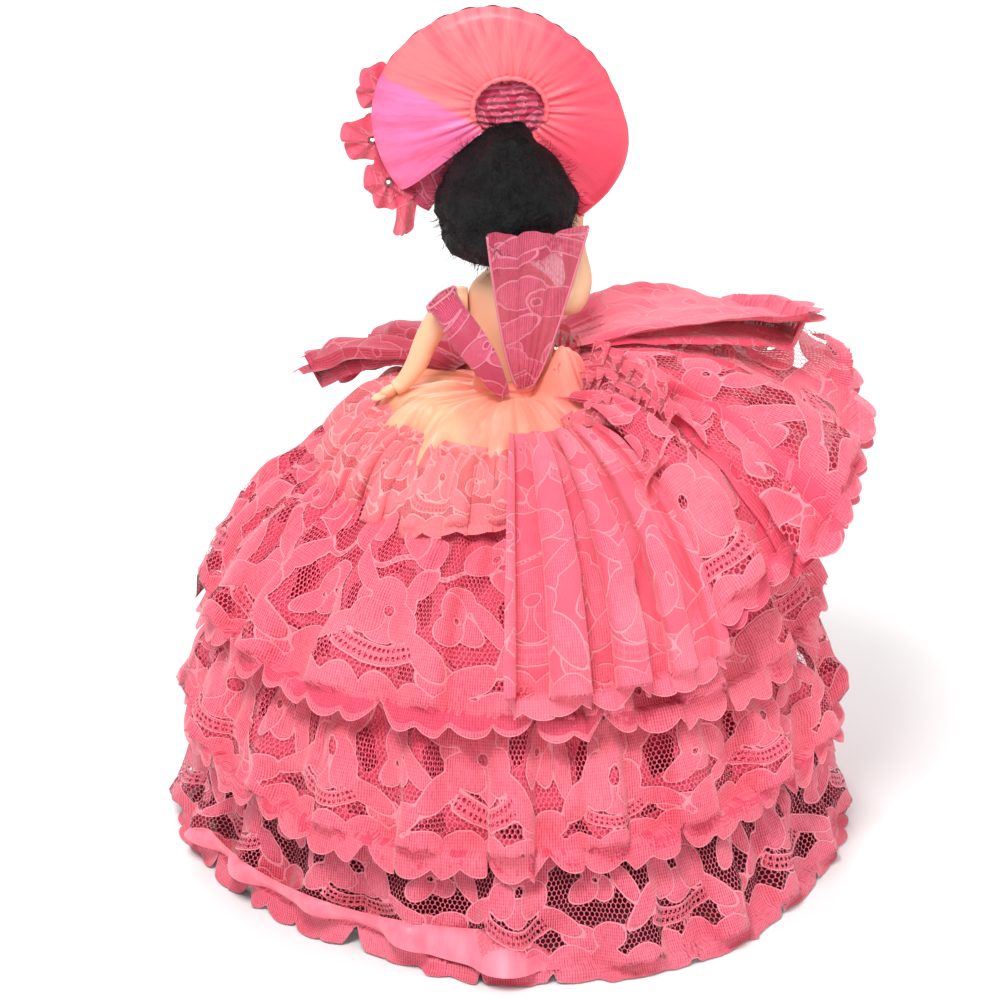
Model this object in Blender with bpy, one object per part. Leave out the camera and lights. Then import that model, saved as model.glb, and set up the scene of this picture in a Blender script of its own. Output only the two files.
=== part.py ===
"""A topsy-turvy doll: two half dolls joined at the hips, under one shared ruffled lace skirt.

Metres, +Z up. The upper doll faces -Y, and her left hand is at +X. The origin is the middle of the
flat crown of the lower doll's cap, on which the whole doll stands together with the skirt's hem.
"""
import math

import bmesh
import bpy
import numpy as np
from mathutils import Matrix, Vector

# Clearances and counts shared by all pieces
gap = 0.0003
soft_gap = 0.0005
round_columns = 40
cutter_overrun = 0.004

# The two half dolls: heights are measured from the hip join, and the lower doll is the mirror image
hip_z = 0.130
waist_height = 0.022
torso_wall = 0.0016
neck_foot_height = 0.0640
neck_length = 0.0060
neck_top_height = neck_foot_height + neck_length
chest_length = neck_foot_height - waist_height
rib_share = 0.1905
bust_share = 0.4286
armpit_share = 0.6190
shoulder_share = 0.7143
shoulder_edge_share = 0.8095
neck_slope_share = 0.9286
torso_rings = [  # height over the hip join, half width, depth behind, depth in front
    (0.0002, 0.0130, 0.0095, 0.0095),
    (0.0080, 0.0135, 0.0098, 0.0098),
    (0.0170, 0.0118, 0.0086, 0.0086),
    (waist_height, 0.0112, 0.0082, 0.0082),
    (waist_height + chest_length * rib_share, 0.0120, 0.0088, 0.0096),
    (waist_height + chest_length * bust_share, 0.0134, 0.0092, 0.0118),
    (waist_height + chest_length * armpit_share, 0.0138, 0.0092, 0.0104),
    (waist_height + chest_length * shoulder_edge_share, 0.0136, 0.0086, 0.0088),
    (waist_height + chest_length * neck_slope_share, 0.0095, 0.0070, 0.0070),
    (neck_foot_height, 0.0056, 0.0056, 0.0056),
    (neck_top_height, 0.0054, 0.0054, 0.0054),
]
shoulder_height = waist_height + chest_length * shoulder_share
peg_radius = 0.0026
peg_head_radius = 0.0034
peg_head_length = 0.0012
peg_inner_x = 0.0086
arm_root_x = 0.0142
plug_radius = 0.0068
plug_half_length = 0.013
tape_half_width = 0.0045
tape_thickness = 0.0009
neck_hole_radius = 0.0059
button_radius = 0.0070
button_thickness = 0.0015
button_stem_length = 0.010
head_seat = 0.0030
head_floor = 0.0050
head_radii = Vector((0.0165, 0.0175, 0.0185))
head_forward = 0.0010
head_shoulder_height = neck_top_height + head_seat
head_height = head_shoulder_height - head_floor + head_radii.z
head_hollow_radius = 0.0135
nose_length = 0.0016
chin_length = 0.0012
cheek_fullness = 0.0006
hair_thickness = 0.0033
hair_radius = head_radii.z + hair_thickness
hair_lump = 0.0008
hair_lift = 0.0010
hair_height = head_height + hair_lift
upper_hair_shift = Vector((0.0020, 0.0010, 0))
face_half_width = 0.0130
face_half_height = 0.0150
face_drop = 0.0035
face_height = head_height - face_drop
face_depth = 0.0060
nape_radius = 0.0105

# Arms, from the shoulder's root outwards: x, y, height over the shoulder, radius. The heights follow
# the shoulder's own height over the waist, so that the hands stay clear of the skirt.
arm_table_rise = 0.030
arm_height_share = (shoulder_height - waist_height) / arm_table_rise
left_arm_course = [
    (0.0180, 0.0000, -0.0003, 0.0046),
    (0.0225, 0.0015, -0.0045, 0.0043),
    (0.0270, 0.0030, -0.0120, 0.0038),
    (0.0305, 0.0035, -0.0205, 0.0034),
    (0.0345, 0.0042, -0.0262, 0.0029),
    (0.0390, 0.0050, -0.0288, 0.0029),
    (0.0435, 0.0052, -0.0293, 0.0016),
]
right_arm_course = [
    (0.0183, 0.0000, 0.0004, 0.0046),
    (0.0206, -0.0045, 0.0055, 0.0043),
    (0.0192, -0.0100, 0.0135, 0.0038),
    (0.0190, -0.0160, 0.0220, 0.0036),
    (0.0235, -0.0192, 0.0310, 0.0030),
    (0.0285, -0.0203, 0.0382, 0.0031),
    (0.0312, -0.0207, 0.0430, 0.0016),
]
lower_arm_course = [
    (0.0182, 0.0000, 0.0006, 0.0046),
    (0.0232, -0.0005, 0.0055, 0.0043),
    (0.0275, -0.0010, 0.0135, 0.0038),
    (0.0300, -0.0020, 0.0225, 0.0034),
    (0.0312, -0.0030, 0.0305, 0.0028),
    (0.0316, -0.0035, 0.0365, 0.0029),
    (0.0318, -0.0035, 0.0415, 0.0016),
]

# Lower doll's cap
cap_flat_radius = 0.0150
cap_radius = 0.0246
cap_rim_z = 0.0330
cap_shoulder_z = 0.0200
cap_bevel_z = 0.0040

# Bodices, sashes and straps
sash_height = 0.0070
sash_thickness = 0.0012
bodice_thickness = 0.0008
bodice_lift = 0.0065
bodice_low_height = waist_height + bodice_lift
bodice_height = 0.0165
bodice_high_height = bodice_low_height + bodice_height
bodice_half_angle = math.radians(68)
strap_thickness = 0.0007
strap_fold = 0.0004
strap_course = [  # x, y, height over the waist, radius
    (0.0032, 0.0135, 0.0045, 0.0024),
    (0.0082, 0.0146, 0.0140, 0.0027),
    (0.0150, 0.0142, 0.0245, 0.0031),
    (0.0190, 0.0128, 0.0305, 0.0035),
    (0.0228, 0.0112, 0.0360, 0.0039),
]
collar_thickness = 0.0008
collar_foot_width = 0.0055
collar_top_width = 0.0290
collar_foot_lift = 0.0050
collar_top_drop = 0.0015
collar_foot = Vector((-0.0036, 0.0116, waist_height + collar_foot_lift))
collar_top = Vector((-0.0062, 0.0262, head_height - collar_top_drop))
collar_fold = 0.0007
collar_bow = 0.0020
collar_turn_width = 0.0040
collar_turn_depth = 0.0050

# Hat: a disc of gathered satin behind the head, ring and ruche in its hole, lace on its face
hat_y = -0.0020
hole_x = 0.0010
hat_lift = 0.0061
hole_height = hair_height + hair_radius + hat_lift
hole_half_width = 0.0106
hole_half_height = 0.0094
roll_radius = 0.0010
brim_thickness = 0.0010
brim_front_thickness = 0.0008
brim_bowl = 0.0050
brim_gather = 0.0006
brim_start = math.radians(-150)
brim_end = math.radians(131)
brim_angle_shares = [-1.0, -0.775, -0.575, -0.273, 0.0, 0.333, 0.6, 0.873]
brim_widest = 0.0455
brim_reach_shares = [0.985, 0.91, 0.725, 0.637, 0.69, 0.80, 0.945, 1.0]
brim_angle_unit = math.radians(150)
wire_radius = 0.0007
wire_inset = 0.0016
ruche_thickness = 0.0009
ruche_pleat = 0.0011
ruche_rows = 4
ruche_crown_share = 0.10
rosette_thickness = 0.0008
rosette_eye_share = 0.2
rosette_cup = 0.0030
rosette_wave = 0.0005
rosettes = {  # how far beside and over the hole's middle, and radius
    "hat_rosette_upper": (0.0395, 0.0071, 0.0074),
    "hat_rosette_middle": (0.0430, -0.0101, 0.0072),
    "hat_rosette_lower": (0.0355, -0.0257, 0.0070),
}
ribbon_start_share = 0.85
ribbon_width = 0.0060
ribbon_length = 0.0150
ribbon_thickness = 0.0008
ribbon_wave = 0.0010

# Skirts: profiles run from the waist outwards and down, as radius and height over the floor
foundation_thickness = 0.0010
foundation_profile = [
    (0.0142, 0.1495),
    (0.0360, 0.1415),
    (0.0540, 0.1300),
    (0.0720, 0.1110),
    (0.0830, 0.0870),
    (0.0890, 0.0580),
    (0.0905, 0.0300),
    (0.0915, 0.0036),
]
inner_thickness = 0.0010
inner_profile = [
    (0.0142, 0.1055),
    (0.0400, 0.0980),
    (0.0600, 0.0850),
    (0.0760, 0.0600),
    (0.0820, 0.0300),
    (0.0855, 0.0036),
]
binding_height = 0.0030
binding_overhang = 0.0006
satin_thickness = 0.0010
satin_profile = [(0.0145, 0.1511), (0.0240, 0.1522), (0.0340, 0.1497), (0.0425, 0.1440), (0.0462, 0.1408)]
satin_fold = 0.0010
satin_folds = 10
edging_thickness = 0.0008
edging_profile = [(0.0395, 0.1479), (0.0490, 0.1440), (0.0580, 0.1345)]
edging_fold = 0.0010
tier_thickness = 0.0009
tier_folds = 20
seam_step = 0.0010
tier_tables = {  # top seam's height, hem's radius and height, depth of the folds at the hem, bulge
    "lace_tier_upper": (0.1310, 0.0975, 0.0840, 0.0048, 0.0050),
    "lace_tier_middle": (0.0930, 0.1052, 0.0418, 0.0051, 0.0012),
    "lace_tier_lower": (0.0540, 0.1055, 0.0012, 0.0050, -0.0010),
}
tier_sway_shares = {  # how the folds crowd together: waves round the doll, shares of a radian, starts
    "lace_tier_upper": [(2, 0.90, 0.3), (3, 0.70, 2.0), (5, 0.40, 4.4)],
    "lace_tier_middle": [(2, 0.80, 3.1), (4, 0.55, 0.7), (5, 0.40, 2.2)],
    "lace_tier_lower": [(3, 0.75, 5.2), (4, 0.50, 1.4), (7, 0.30, 3.0)],
}
tier_growth_shares = {  # how much deeper some folds are than others
    "lace_tier_upper": [(3, 0.16, 1.1), (4, 0.12, 5.0)],
    "lace_tier_middle": [(2, 0.12, 4.0), (5, 0.16, 0.9)],
    "lace_tier_lower": [(3, 0.14, 2.6), (4, 0.14, 0.2)],
}
tier_dip = 0.0030
tier_dip_shares = {  # how the two upper hems rise and dip
    "lace_tier_upper": [(1, 0.5, 0.8), (3, 0.5, 4.1)],
    "lace_tier_middle": [(2, 0.5, 1.9), (3, 0.5, 0.6)],
    "lace_tier_lower": [],
}
hem_stand = 0.0145
hem_reach = foundation_profile[-1][0] + hem_stand
hem_reach_shares = [1.01, 0.965, 0.955, 1.06, 1.075, 1.015, 1.01, 1.0, 0.98, 0.98, 0.99, 1.0]
hem_lift = 0.0045
hem_lift_shares = [0.25, 0.9, 1.0, 0.1, 0, 0, 0, 0, 0, 0, 0, 0]

# Pleats behind and flounces at the hips: azimuths run from +X towards +Y
pleat_thickness = 0.0009
pleat_depth = 0.0026
pleat_count = 4
pleat_start_share = 0.15
pleat_slant_share = 0.7
pleat_start = math.radians(90)
pleat_end = math.radians(124)
pleat_profile = [(0.0420, 0.1488), (0.0600, 0.1455), (0.0800, 0.1310), (0.0935, 0.1130), (0.1010, 0.0960)]
heading_thickness = 0.0007
heading_radius = 0.0185
heading_wave = 0.0013
heading_waves = 6
heading_height = 0.0120
heading_start = math.radians(132)
heading_end = math.radians(238)
flounce_thickness = 0.0008
flounce_sizes = {  # root over the satin, hem height, hem radius, arch, depth of the folds
    "hip_flounce_upper": (0.0124, 0.1570, 0.1000, 0.0040, 0.0045),
    "hip_flounce_middle": (0.0082, 0.1440, 0.1105, 0.0060, 0.0050),
    "hip_flounce_lower": (0.0040, 0.1230, 0.1000, 0.0080, 0.0040),
    "front_flounce": (0.0009, 0.1436, 0.0760, 0.0052, 0.0026),
}
flounce_degrees = {
    "hip_flounce_upper": (184, 236),
    "hip_flounce_middle": (150, 197),
    "hip_flounce_lower": (130, 182),
    "front_flounce": (296, 334),
}
flounce_folds = {"hip_flounce_upper": 3, "hip_flounce_middle": 3, "hip_flounce_lower": 4, "front_flounce": 3}
flounce_corner_share = 0.92


# Plain building blocks

def paint(name, colour, roughness):
    material = bpy.data.materials.new(name)
    material.use_nodes = True
    shader = material.node_tree.nodes["Principled BSDF"]
    shader.inputs["Base Color"].default_value = (*colour, 1)
    shader.inputs["Roughness"].default_value = roughness
    material.diffuse_color = (*colour, 1)
    return material


def axis_empty(name, place):
    empty = bpy.data.objects.new(name, None)
    empty.location = place
    bpy.context.scene.collection.objects.link(empty)
    return empty


def place_piece(name, bm, finish, carrier=None):
    """Turns a bmesh in world coordinates into an object whose origin is its carrier's."""
    bmesh.ops.recalc_face_normals(bm, faces=bm.faces)
    if bm.calc_volume(signed=True) < 0:
        bmesh.ops.reverse_faces(bm, faces=bm.faces)
    mesh = bpy.data.meshes.new(name)
    bm.to_mesh(mesh)
    bm.free()
    if carrier:
        mesh.transform(Matrix.Translation(-carrier.location))
    mesh.materials.append(finish)
    mesh.shade_smooth()
    mesh.set_sharp_from_angle(angle=math.radians(50))
    piece = bpy.data.objects.new(name, mesh)
    bpy.context.scene.collection.objects.link(piece)
    piece.parent = carrier
    return piece


def follow(table, value):
    """Reads a polyline of rows by its share of the way through, 0 to 1."""
    rows = np.array(table)
    stations = np.linspace(0, 1, len(rows))
    return [float(np.interp(value, stations, rows[:, column])) for column in range(rows.shape[1])]


def sheet_normal(surface, s, t, round_it):
    step = 0.002
    low_s = s - step if round_it else max(s - step, 0)
    high_s = s + step if round_it else min(s + step, 1)
    across = surface(high_s, t) - surface(low_s, t)
    along = surface(s, min(t + step, 1)) - surface(s, max(t - step, 0))
    return across.cross(along).normalized()


def cloth(name, surface, columns, rows, thickness, finish, carrier=None, round_it=False):
    """A closed body of even thickness round the sheet surface(s, t), with s and t from 0 to 1."""
    bm = bmesh.new()
    steps = columns if round_it else columns + 1
    grids = []
    for side in (-thickness / 2, thickness / 2):
        grid = []
        for i in range(steps):
            s = i / columns
            line = []
            for j in range(rows + 1):
                t = j / rows
                line.append(bm.verts.new(surface(s, t) + side * sheet_normal(surface, s, t, round_it)))
            grid.append(line)
        grids.append(grid)
    inner, outer = grids
    for i in range(columns):
        k = (i + 1) % steps
        for j in range(rows):
            bm.faces.new((outer[i][j], outer[k][j], outer[k][j + 1]))
            bm.faces.new((outer[i][j], outer[k][j + 1], outer[i][j + 1]))
            bm.faces.new((inner[i][j], inner[k][j + 1], inner[k][j]))
            bm.faces.new((inner[i][j], inner[i][j + 1], inner[k][j + 1]))
        for j in (0, rows):
            bm.faces.new((outer[i][j], inner[i][j], inner[k][j], outer[k][j]))
    if not round_it:
        for i in (0, columns):
            for j in range(rows):
                bm.faces.new((outer[i][j], outer[i][j + 1], inner[i][j + 1], inner[i][j]))
    return place_piece(name, bm, finish, carrier)


def limb(name, course, sides, finish, carrier=None):
    """A tube with flat ends along rows of (point, radius); a repeated point makes a flat step."""
    points = [point for point, radius in course]
    bm = bmesh.new()
    rings = []
    side_way = None
    for i, (point, radius) in enumerate(course):
        before = [p for p in points[:i] if (p - point).length > gap / 3]
        after = [p for p in points[i:] if (p - point).length > gap / 3]
        way = (after[0] if after else point) - (before[-1] if before else point)
        way.normalize()
        if side_way is None:
            side_way = way.orthogonal()
        side_way = (side_way - way * side_way.dot(way)).normalized()
        up_way = way.cross(side_way)
        ring = []
        for k in range(sides):
            angle = math.tau * k / sides
            turn = side_way * math.cos(angle) + up_way * math.sin(angle)
            ring.append(bm.verts.new(point + turn * radius))
        rings.append(ring)
    for low, high in zip(rings, rings[1:]):
        for k in range(sides):
            m = (k + 1) % sides
            bm.faces.new((low[k], low[m], high[m], high[k]))
    bm.faces.new(rings[0])
    bm.faces.new(rings[-1])
    return place_piece(name, bm, finish, carrier)


def turned(name, profile, sides, finish, carrier=None):
    """A solid turned round Z through rows of (radius, height), from its foot to its top."""
    course = [(Vector((0, 0, height)), radius) for radius, height in profile]
    return limb(name, course, sides, finish, carrier)


def ball(name, surface, columns, rows, finish, carrier=None):
    """A closed ball whose point at longitude a and latitude b is surface(a, b)."""
    bm = bmesh.new()
    foot = bm.verts.new(surface(0, -math.pi / 2))
    crown = bm.verts.new(surface(0, math.pi / 2))
    lines = []
    for j in range(1, rows):
        latitude = math.pi * (j / rows - 1 / 2)
        lines.append([bm.verts.new(surface(math.tau * i / columns, latitude)) for i in range(columns)])
    for low, high in zip(lines, lines[1:]):
        for i in range(columns):
            k = (i + 1) % columns
            bm.faces.new((low[i], low[k], high[k], high[i]))
    for i in range(columns):
        k = (i + 1) % columns
        bm.faces.new((foot, lines[0][k], lines[0][i]))
        bm.faces.new((crown, lines[-1][i], lines[-1][k]))
    return place_piece(name, bm, finish, carrier)


def cut(piece, *cutters):
    for cutter in cutters:
        cutter.hide_render = True
        cutter.display_type = "WIRE"
        modifier = piece.modifiers.new(f"less {cutter.name}", "BOOLEAN")
        modifier.operation = "DIFFERENCE"
        modifier.solver = "EXACT"
        modifier.object = cutter


# The two half dolls. up is 1 for the upper doll and -1 for the lower one.

def doll_z(height, up):
    return hip_z + up * height


def torso_shell(name, back, up, finish):
    side = 1 if back else -1

    def surface(s, t):
        height, half_width, depth_behind, depth_before = follow(torso_rings, t)
        depth = depth_behind if back else depth_before
        angle = math.pi * s
        x = (half_width - torso_wall / 2) * math.cos(angle)
        y = (depth - torso_wall / 2) * math.sin(angle) + gap / 2
        return Vector((x, side * y, doll_z(height, up)))

    shell = cloth(name, surface, 7, len(torso_rings) - 1, torso_wall, finish)
    shoulder = Vector((0, 0, doll_z(shoulder_height, up)))
    reach = Vector((arm_root_x + cutter_overrun, 0, 0))
    hole = limb(f"{name}_arm_hole", [(shoulder - reach, peg_radius + gap), (shoulder + reach, peg_radius + gap)],
                12, finish)
    cut(shell, hole)
    return shell


def arm(name, side, up, course, finish, carrier):
    """An arm with the headed peg that snaps into the shoulder; side is 1 at +X."""
    z = doll_z(shoulder_height, up)
    rows = [
        (Vector((side * peg_inner_x, 0, z)), peg_head_radius),
        (Vector((side * (peg_inner_x + peg_head_length), 0, z)), peg_head_radius),
        (Vector((side * (peg_inner_x + peg_head_length), 0, z)), peg_radius),
        (Vector((side * arm_root_x, 0, z)), peg_radius),
        (Vector((side * arm_root_x, 0, z)), course[0][3]),
    ]
    for x, y, height, radius in course:
        rows.append((Vector((side * x, y, z + height * arm_height_share)), radius))
    return limb(name, rows, 10, finish, carrier)


def head_surface(up, grow=0.0):
    """The head's outer skin, with nose, chin and cheeks on its -Y side, grown by a clearance."""
    middle = Vector((0, -head_forward, doll_z(head_height, up)))

    def surface(longitude, latitude):
        flat = math.cos(latitude)
        way = Vector((flat * math.cos(longitude), flat * math.sin(longitude), math.sin(latitude)))
        front = max(-way.y, 0)
        height_share = way.z
        nose = nose_length * front ** 24 * math.exp(-((height_share + 0.08) / 0.12) ** 2)
        chin = chin_length * front ** 6 * math.exp(-((height_share + 0.62) / 0.18) ** 2)
        cheeks = cheek_fullness * front ** 2 * math.exp(-((height_share + 0.32) / 0.25) ** 2)
        swell = nose + chin + cheeks + grow
        skin = Vector((way.x * (head_radii.x + swell), way.y * (head_radii.y + swell),
                       up * way.z * (head_radii.z + grow)))
        return middle + skin

    return surface


def head(name, up, finish, carrier):
    """A hollow head, open at the neck, with a flat shoulder inside for the neck button."""
    skull = ball(name, head_surface(up), 16, 12, finish, carrier)
    shoulder = head_shoulder_height
    middle = head_height
    hollow_share = 0.55
    profile = [
        (neck_hole_radius, doll_z(middle - head_radii.z - cutter_overrun, up)),
        (neck_hole_radius, doll_z(shoulder, up)),
        (head_hollow_radius * (1 - hollow_share / 4), doll_z(shoulder, up)),
        (head_hollow_radius, doll_z(middle - head_radii.z / 4, up)),
        (head_hollow_radius, doll_z(middle + head_radii.z / 4, up)),
        (head_hollow_radius * hollow_share, doll_z(middle + head_radii.z - cutter_overrun, up)),
    ]
    cut(skull, turned(f"{name}_hollow", profile, 12, finish, carrier))
    return skull


def neck_button(name, up, finish):
    """The mushroom button whose stem fills the split neck and whose head holds the doll's head on."""
    neck_top = torso_rings[-1][0]
    stem = torso_rings[-1][1] - torso_wall - gap
    foot = head_shoulder_height + gap
    profile = [
        (stem, doll_z(neck_top - button_stem_length, up)),
        (stem, doll_z(foot, up)),
        (button_radius, doll_z(foot, up)),
        (button_radius, doll_z(foot + button_thickness, up)),
    ]
    return turned(name, profile, 12, finish)


def wig(name, up, shift, finish, carrier):
    """Fluffed hair: a lumpy ball round the skull, open at the face and at the neck."""
    middle = Vector((0, 0, doll_z(hair_height, up))) + shift

    def surface(longitude, latitude):
        flat = math.cos(latitude)
        way = Vector((flat * math.cos(longitude), flat * math.sin(longitude), up * math.sin(latitude)))
        lump = math.sin(5 * longitude + 1) * math.cos(6 * latitude) * flat
        return middle + way * (hair_radius + hair_lump * lump)

    hair = ball(name, surface, 16, 10, finish, carrier)
    skull = ball(f"{name}_skull", head_surface(up, gap), 16, 12, finish, carrier)
    face_middle = Vector((0, -face_depth, doll_z(face_height, up)))
    far = Vector((0, -hair_radius - cutter_overrun, 0))
    face = limb(f"{name}_face", [(face_middle, face_half_width), (face_middle + far, face_half_height)],
                14, finish, carrier)
    neck_profile = [
        (nape_radius, doll_z(hair_height - hair_radius - cutter_overrun, up)),
        (nape_radius, doll_z(head_shoulder_height + cutter_overrun, up)),
    ]
    neck = turned(f"{name}_neck", neck_profile, 14, finish, carrier)
    cut(hair, skull, face, neck)
    return hair


def sash(name, up, finish):
    """A ribbon round the waist."""
    _, half_width, depth_behind, depth_before = torso_rings[4]
    swell = gap + sash_thickness / 2

    def surface(s, t):
        angle = math.tau * s
        depth = depth_behind if math.sin(angle) > 0 else depth_before
        height = waist_height - sash_height / 4 + sash_height * t
        return Vector(((half_width + swell) * math.cos(angle), (depth + swell) * math.sin(angle),
                       doll_z(height, up)))

    return cloth(name, surface, 24, 1, sash_thickness, finish, round_it=True)


def bodice(name, up, finish):
    """Lace across the bust, from one side seam to the other."""
    def surface(s, t):
        height = bodice_low_height + sash_height / 4 + (bodice_high_height - bodice_low_height) * t
        share = float(np.interp(height, [ring[0] for ring in torso_rings], np.linspace(0, 1, len(torso_rings))))
        _, half_width, _, depth = follow(torso_rings, share)
        swell = soft_gap + gap + bodice_thickness / 2
        angle = -math.pi / 2 + bodice_half_angle * (2 * s - 1)
        return Vector(((half_width + swell) * math.cos(angle), (depth + swell) * math.sin(angle),
                       doll_z(height, up)))

    return cloth(name, surface, 10, 4, bodice_thickness, finish)


def half_doll(prefix, up, shift, arm_courses, carriers, skin, hair, lace, satin):
    torso_shell(f"{prefix}_torso_back", True, up, skin)
    torso_shell(f"{prefix}_torso_front", False, up, skin)
    neck_button(f"{prefix}_neck_button", up, skin)
    head(f"{prefix}_head", up, skin, carriers["head"])
    wig(f"{prefix}_wig", up, shift, hair, carriers["head"])
    arm(f"{prefix}_left_arm", 1, up, arm_courses[0], skin, carriers["left"])
    arm(f"{prefix}_right_arm", -1, up, arm_courses[1], skin, carriers["right"])
    sash(f"{prefix}_sash", up, satin)
    bodice(f"{prefix}_bodice", up, lace)


def hip_join(plug_finish, tape_finish):
    """The dowel that runs inside both torsos, and the tape round their meeting edges."""
    foot = hip_z - plug_half_length
    turned("hip_dowel", [(plug_radius, foot), (plug_radius, foot + 2 * plug_half_length)], 16, plug_finish)
    _, half_width, depth, _ = torso_rings[1]
    swell = gap + tape_thickness / 2

    def surface(s, t):
        angle = math.tau * s
        z = hip_z + tape_half_width * (2 * t - 1)
        return Vector(((half_width + swell) * math.cos(angle), (depth + swell) * math.sin(angle), z))

    cloth("hip_tape", surface, 24, 1, tape_thickness, tape_finish, round_it=True)


def left_strap(finish):
    """A folded lace tube from the sash over the back of the left shoulder, open at its end."""
    def surface(s, t):
        x, y, height, radius = follow(strap_course, t)
        angle = math.tau * s
        swell = radius + strap_fold * math.cos(3 * angle)
        return Vector((x + swell * math.cos(angle), y + swell * math.sin(angle), doll_z(waist_height + height, 1)))

    cloth("left_strap", surface, 12, 5, strap_thickness, finish, round_it=True)


def collar_panel(finish):
    """The stiff fan of lace that stands up behind the right shoulder, its outer edge turned forward."""
    def surface(s, t):
        middle = collar_foot.lerp(collar_top, t)
        width = collar_foot_width + (collar_top_width - collar_foot_width) * t
        turn_share = max((0.12 - s) / 0.12, 0)
        x = middle.x + width * (s - 0.5) - collar_turn_width * turn_share * t
        bow = -collar_bow * math.sin(math.pi * t) + collar_fold * t * math.sin(3 * math.tau * s)
        y = middle.y + bow - collar_turn_depth * turn_share * t
        return Vector((x, y, doll_z(middle.z, 1)))

    cloth("collar_panel", surface, 16, 5, collar_thickness, finish)


# Hat. Angles run from the top of the brim, positive towards +X.

def hole_middle():
    return Vector((hole_x, hat_y, doll_z(hole_height, 1)))


def brim_reach(angle):
    stations = [share * brim_angle_unit for share in brim_angle_shares]
    reaches = [share * brim_widest for share in brim_reach_shares]
    return float(np.interp(angle, stations, reaches))


def brim_inner(angle):
    """The brim starts outside the rolled edge of the hole and outside the hair."""
    half_width = hole_half_width + 2 * roll_radius + gap
    half_height = hole_half_height + 2 * roll_radius + gap
    edge = half_width * half_height / math.hypot(half_height * math.sin(angle), half_width * math.cos(angle))
    hair_middle = Vector((0, 0, doll_z(hair_height, 1))) + upper_hair_shift
    clear = hair_radius + hair_lump + soft_gap
    way = Vector((math.sin(angle), 0, math.cos(angle)))
    to_hair = hair_middle - hole_middle()
    to_hair.y = 0
    along = way.dot(to_hair)
    aside = to_hair.length_squared - along ** 2
    if along > 0 and aside < clear ** 2:
        edge = max(edge, along + math.sqrt(clear ** 2 - aside))
    return min(edge, brim_reach(angle) - 2 * wire_inset)


def brim_point(angle, share, forward):
    """A point of the brim, share of the way out; its sides curve forward like a shallow bowl."""
    inner = brim_inner(angle)
    reach = brim_reach(angle)
    out = inner + (reach - inner) * share
    bowl = brim_bowl * ((out - hole_half_width) / (brim_widest - hole_half_width)) ** 2
    gather = brim_gather * (1 - share) * math.sin(14 * angle)
    offset = Vector((out * math.sin(angle), gather - bowl - forward, out * math.cos(angle)))
    return hole_middle() + offset


def brim_layer(name, forward, thickness, finish, carrier):
    def surface(s, t):
        return brim_point(brim_start + (brim_end - brim_start) * s, t, forward)

    return cloth(name, surface, 30, 3, thickness, finish, carrier)


def brim_wire_depth():
    return brim_thickness / 2 + brim_gather + gap + wire_radius


def hat_wire(finish, carrier):
    course = []
    steps = 26
    margin = wire_inset / brim_widest
    for i in range(steps + 1):
        angle = brim_start + margin + (brim_end - brim_start - 2 * margin) * i / steps
        inner = brim_inner(angle)
        reach = brim_reach(angle)
        share = (reach - inner - wire_inset) / (reach - inner)
        course.append((brim_point(angle, share, brim_wire_depth()), wire_radius))
    limb("hat_rim_wire", course, 5, finish, carrier)


def roll_end():
    """How far round from the top the rolled edge runs before it meets the hair."""
    clear = hair_radius + hair_lump + roll_radius + soft_gap
    hair_x = upper_hair_shift.x - hole_x
    hair_drop = hole_height - hair_height
    steps = 180
    for i in range(steps):
        angle = math.pi * i / steps
        x = (hole_half_width + roll_radius) * math.sin(angle)
        z = (hole_half_height + roll_radius) * math.cos(angle)
        if min(math.hypot(x - hair_x, z + hair_drop), math.hypot(x + hair_x, z + hair_drop)) < clear:
            return angle
    return math.pi


def hat_roll(finish, carrier):
    """The rolled edge round the hole, resting on the hair at both ends."""
    course = []
    half_angle = roll_end()
    steps = 18
    for i in range(steps + 1):
        angle = half_angle * (2 * i / steps - 1)
        place = Vector(((hole_half_width + roll_radius) * math.sin(angle), 0,
                        (hole_half_height + roll_radius) * math.cos(angle)))
        course.append((hole_middle() + place, roll_radius))
    limb("hat_hole_roll", course, 6, finish, carrier)


def hat_ruche(finish, carrier):
    """Rows of pleated lace that fill the hole above the hair."""
    hair_top = doll_z(hair_height, 1) + hair_radius + hair_lump
    foot = hair_top + gap - hole_middle().z
    half_width = hole_half_width - gap
    half_height = hole_half_height - gap - ruche_thickness / 2

    def surface(s, t):
        z = foot + (half_height - foot) * t
        half = half_width * math.sqrt(max(1 - (z / half_height) ** 2, ruche_crown_share))
        pleat = ruche_pleat * math.sin(math.tau * ruche_rows * t)
        return hole_middle() + Vector((half * (2 * s - 1), pleat, z))

    cloth("hat_ruche", surface, 3, 4 * ruche_rows, ruche_thickness, finish, carrier)


def front_face_y(corners):
    """How far forward the lace on the brim's front stands behind any of these corners (x, z)."""
    out = max(math.hypot(x - hole_middle().x, z - hole_middle().z) for x, z in corners)
    out = min(out, brim_widest)
    bowl = brim_bowl * ((out - hole_half_width) / (brim_widest - hole_half_width)) ** 2
    return hat_y - bowl - 2 * brim_wire_depth() - brim_front_thickness / 2


def hat_rosette(name, beside, over, radius, finish, carrier):
    x = hole_x + beside
    z = hole_middle().z + over
    eye = radius * rosette_eye_share
    middle_y = front_face_y([(x + eye, z - eye), (x + eye, z + eye)]) - soft_gap - rosette_thickness / 2

    def surface(s, t):
        angle = math.tau * s
        out = eye + (radius - eye) * t * (1 + 0.12 * math.cos(5 * angle))
        cup = rosette_cup * t ** 2 + rosette_wave * t * math.sin(5 * angle)
        return Vector((x + out * math.cos(angle), middle_y - cup, z + out * math.sin(angle)))

    cloth(name, surface, 20, 2, rosette_thickness, finish, carrier, round_it=True)


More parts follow.
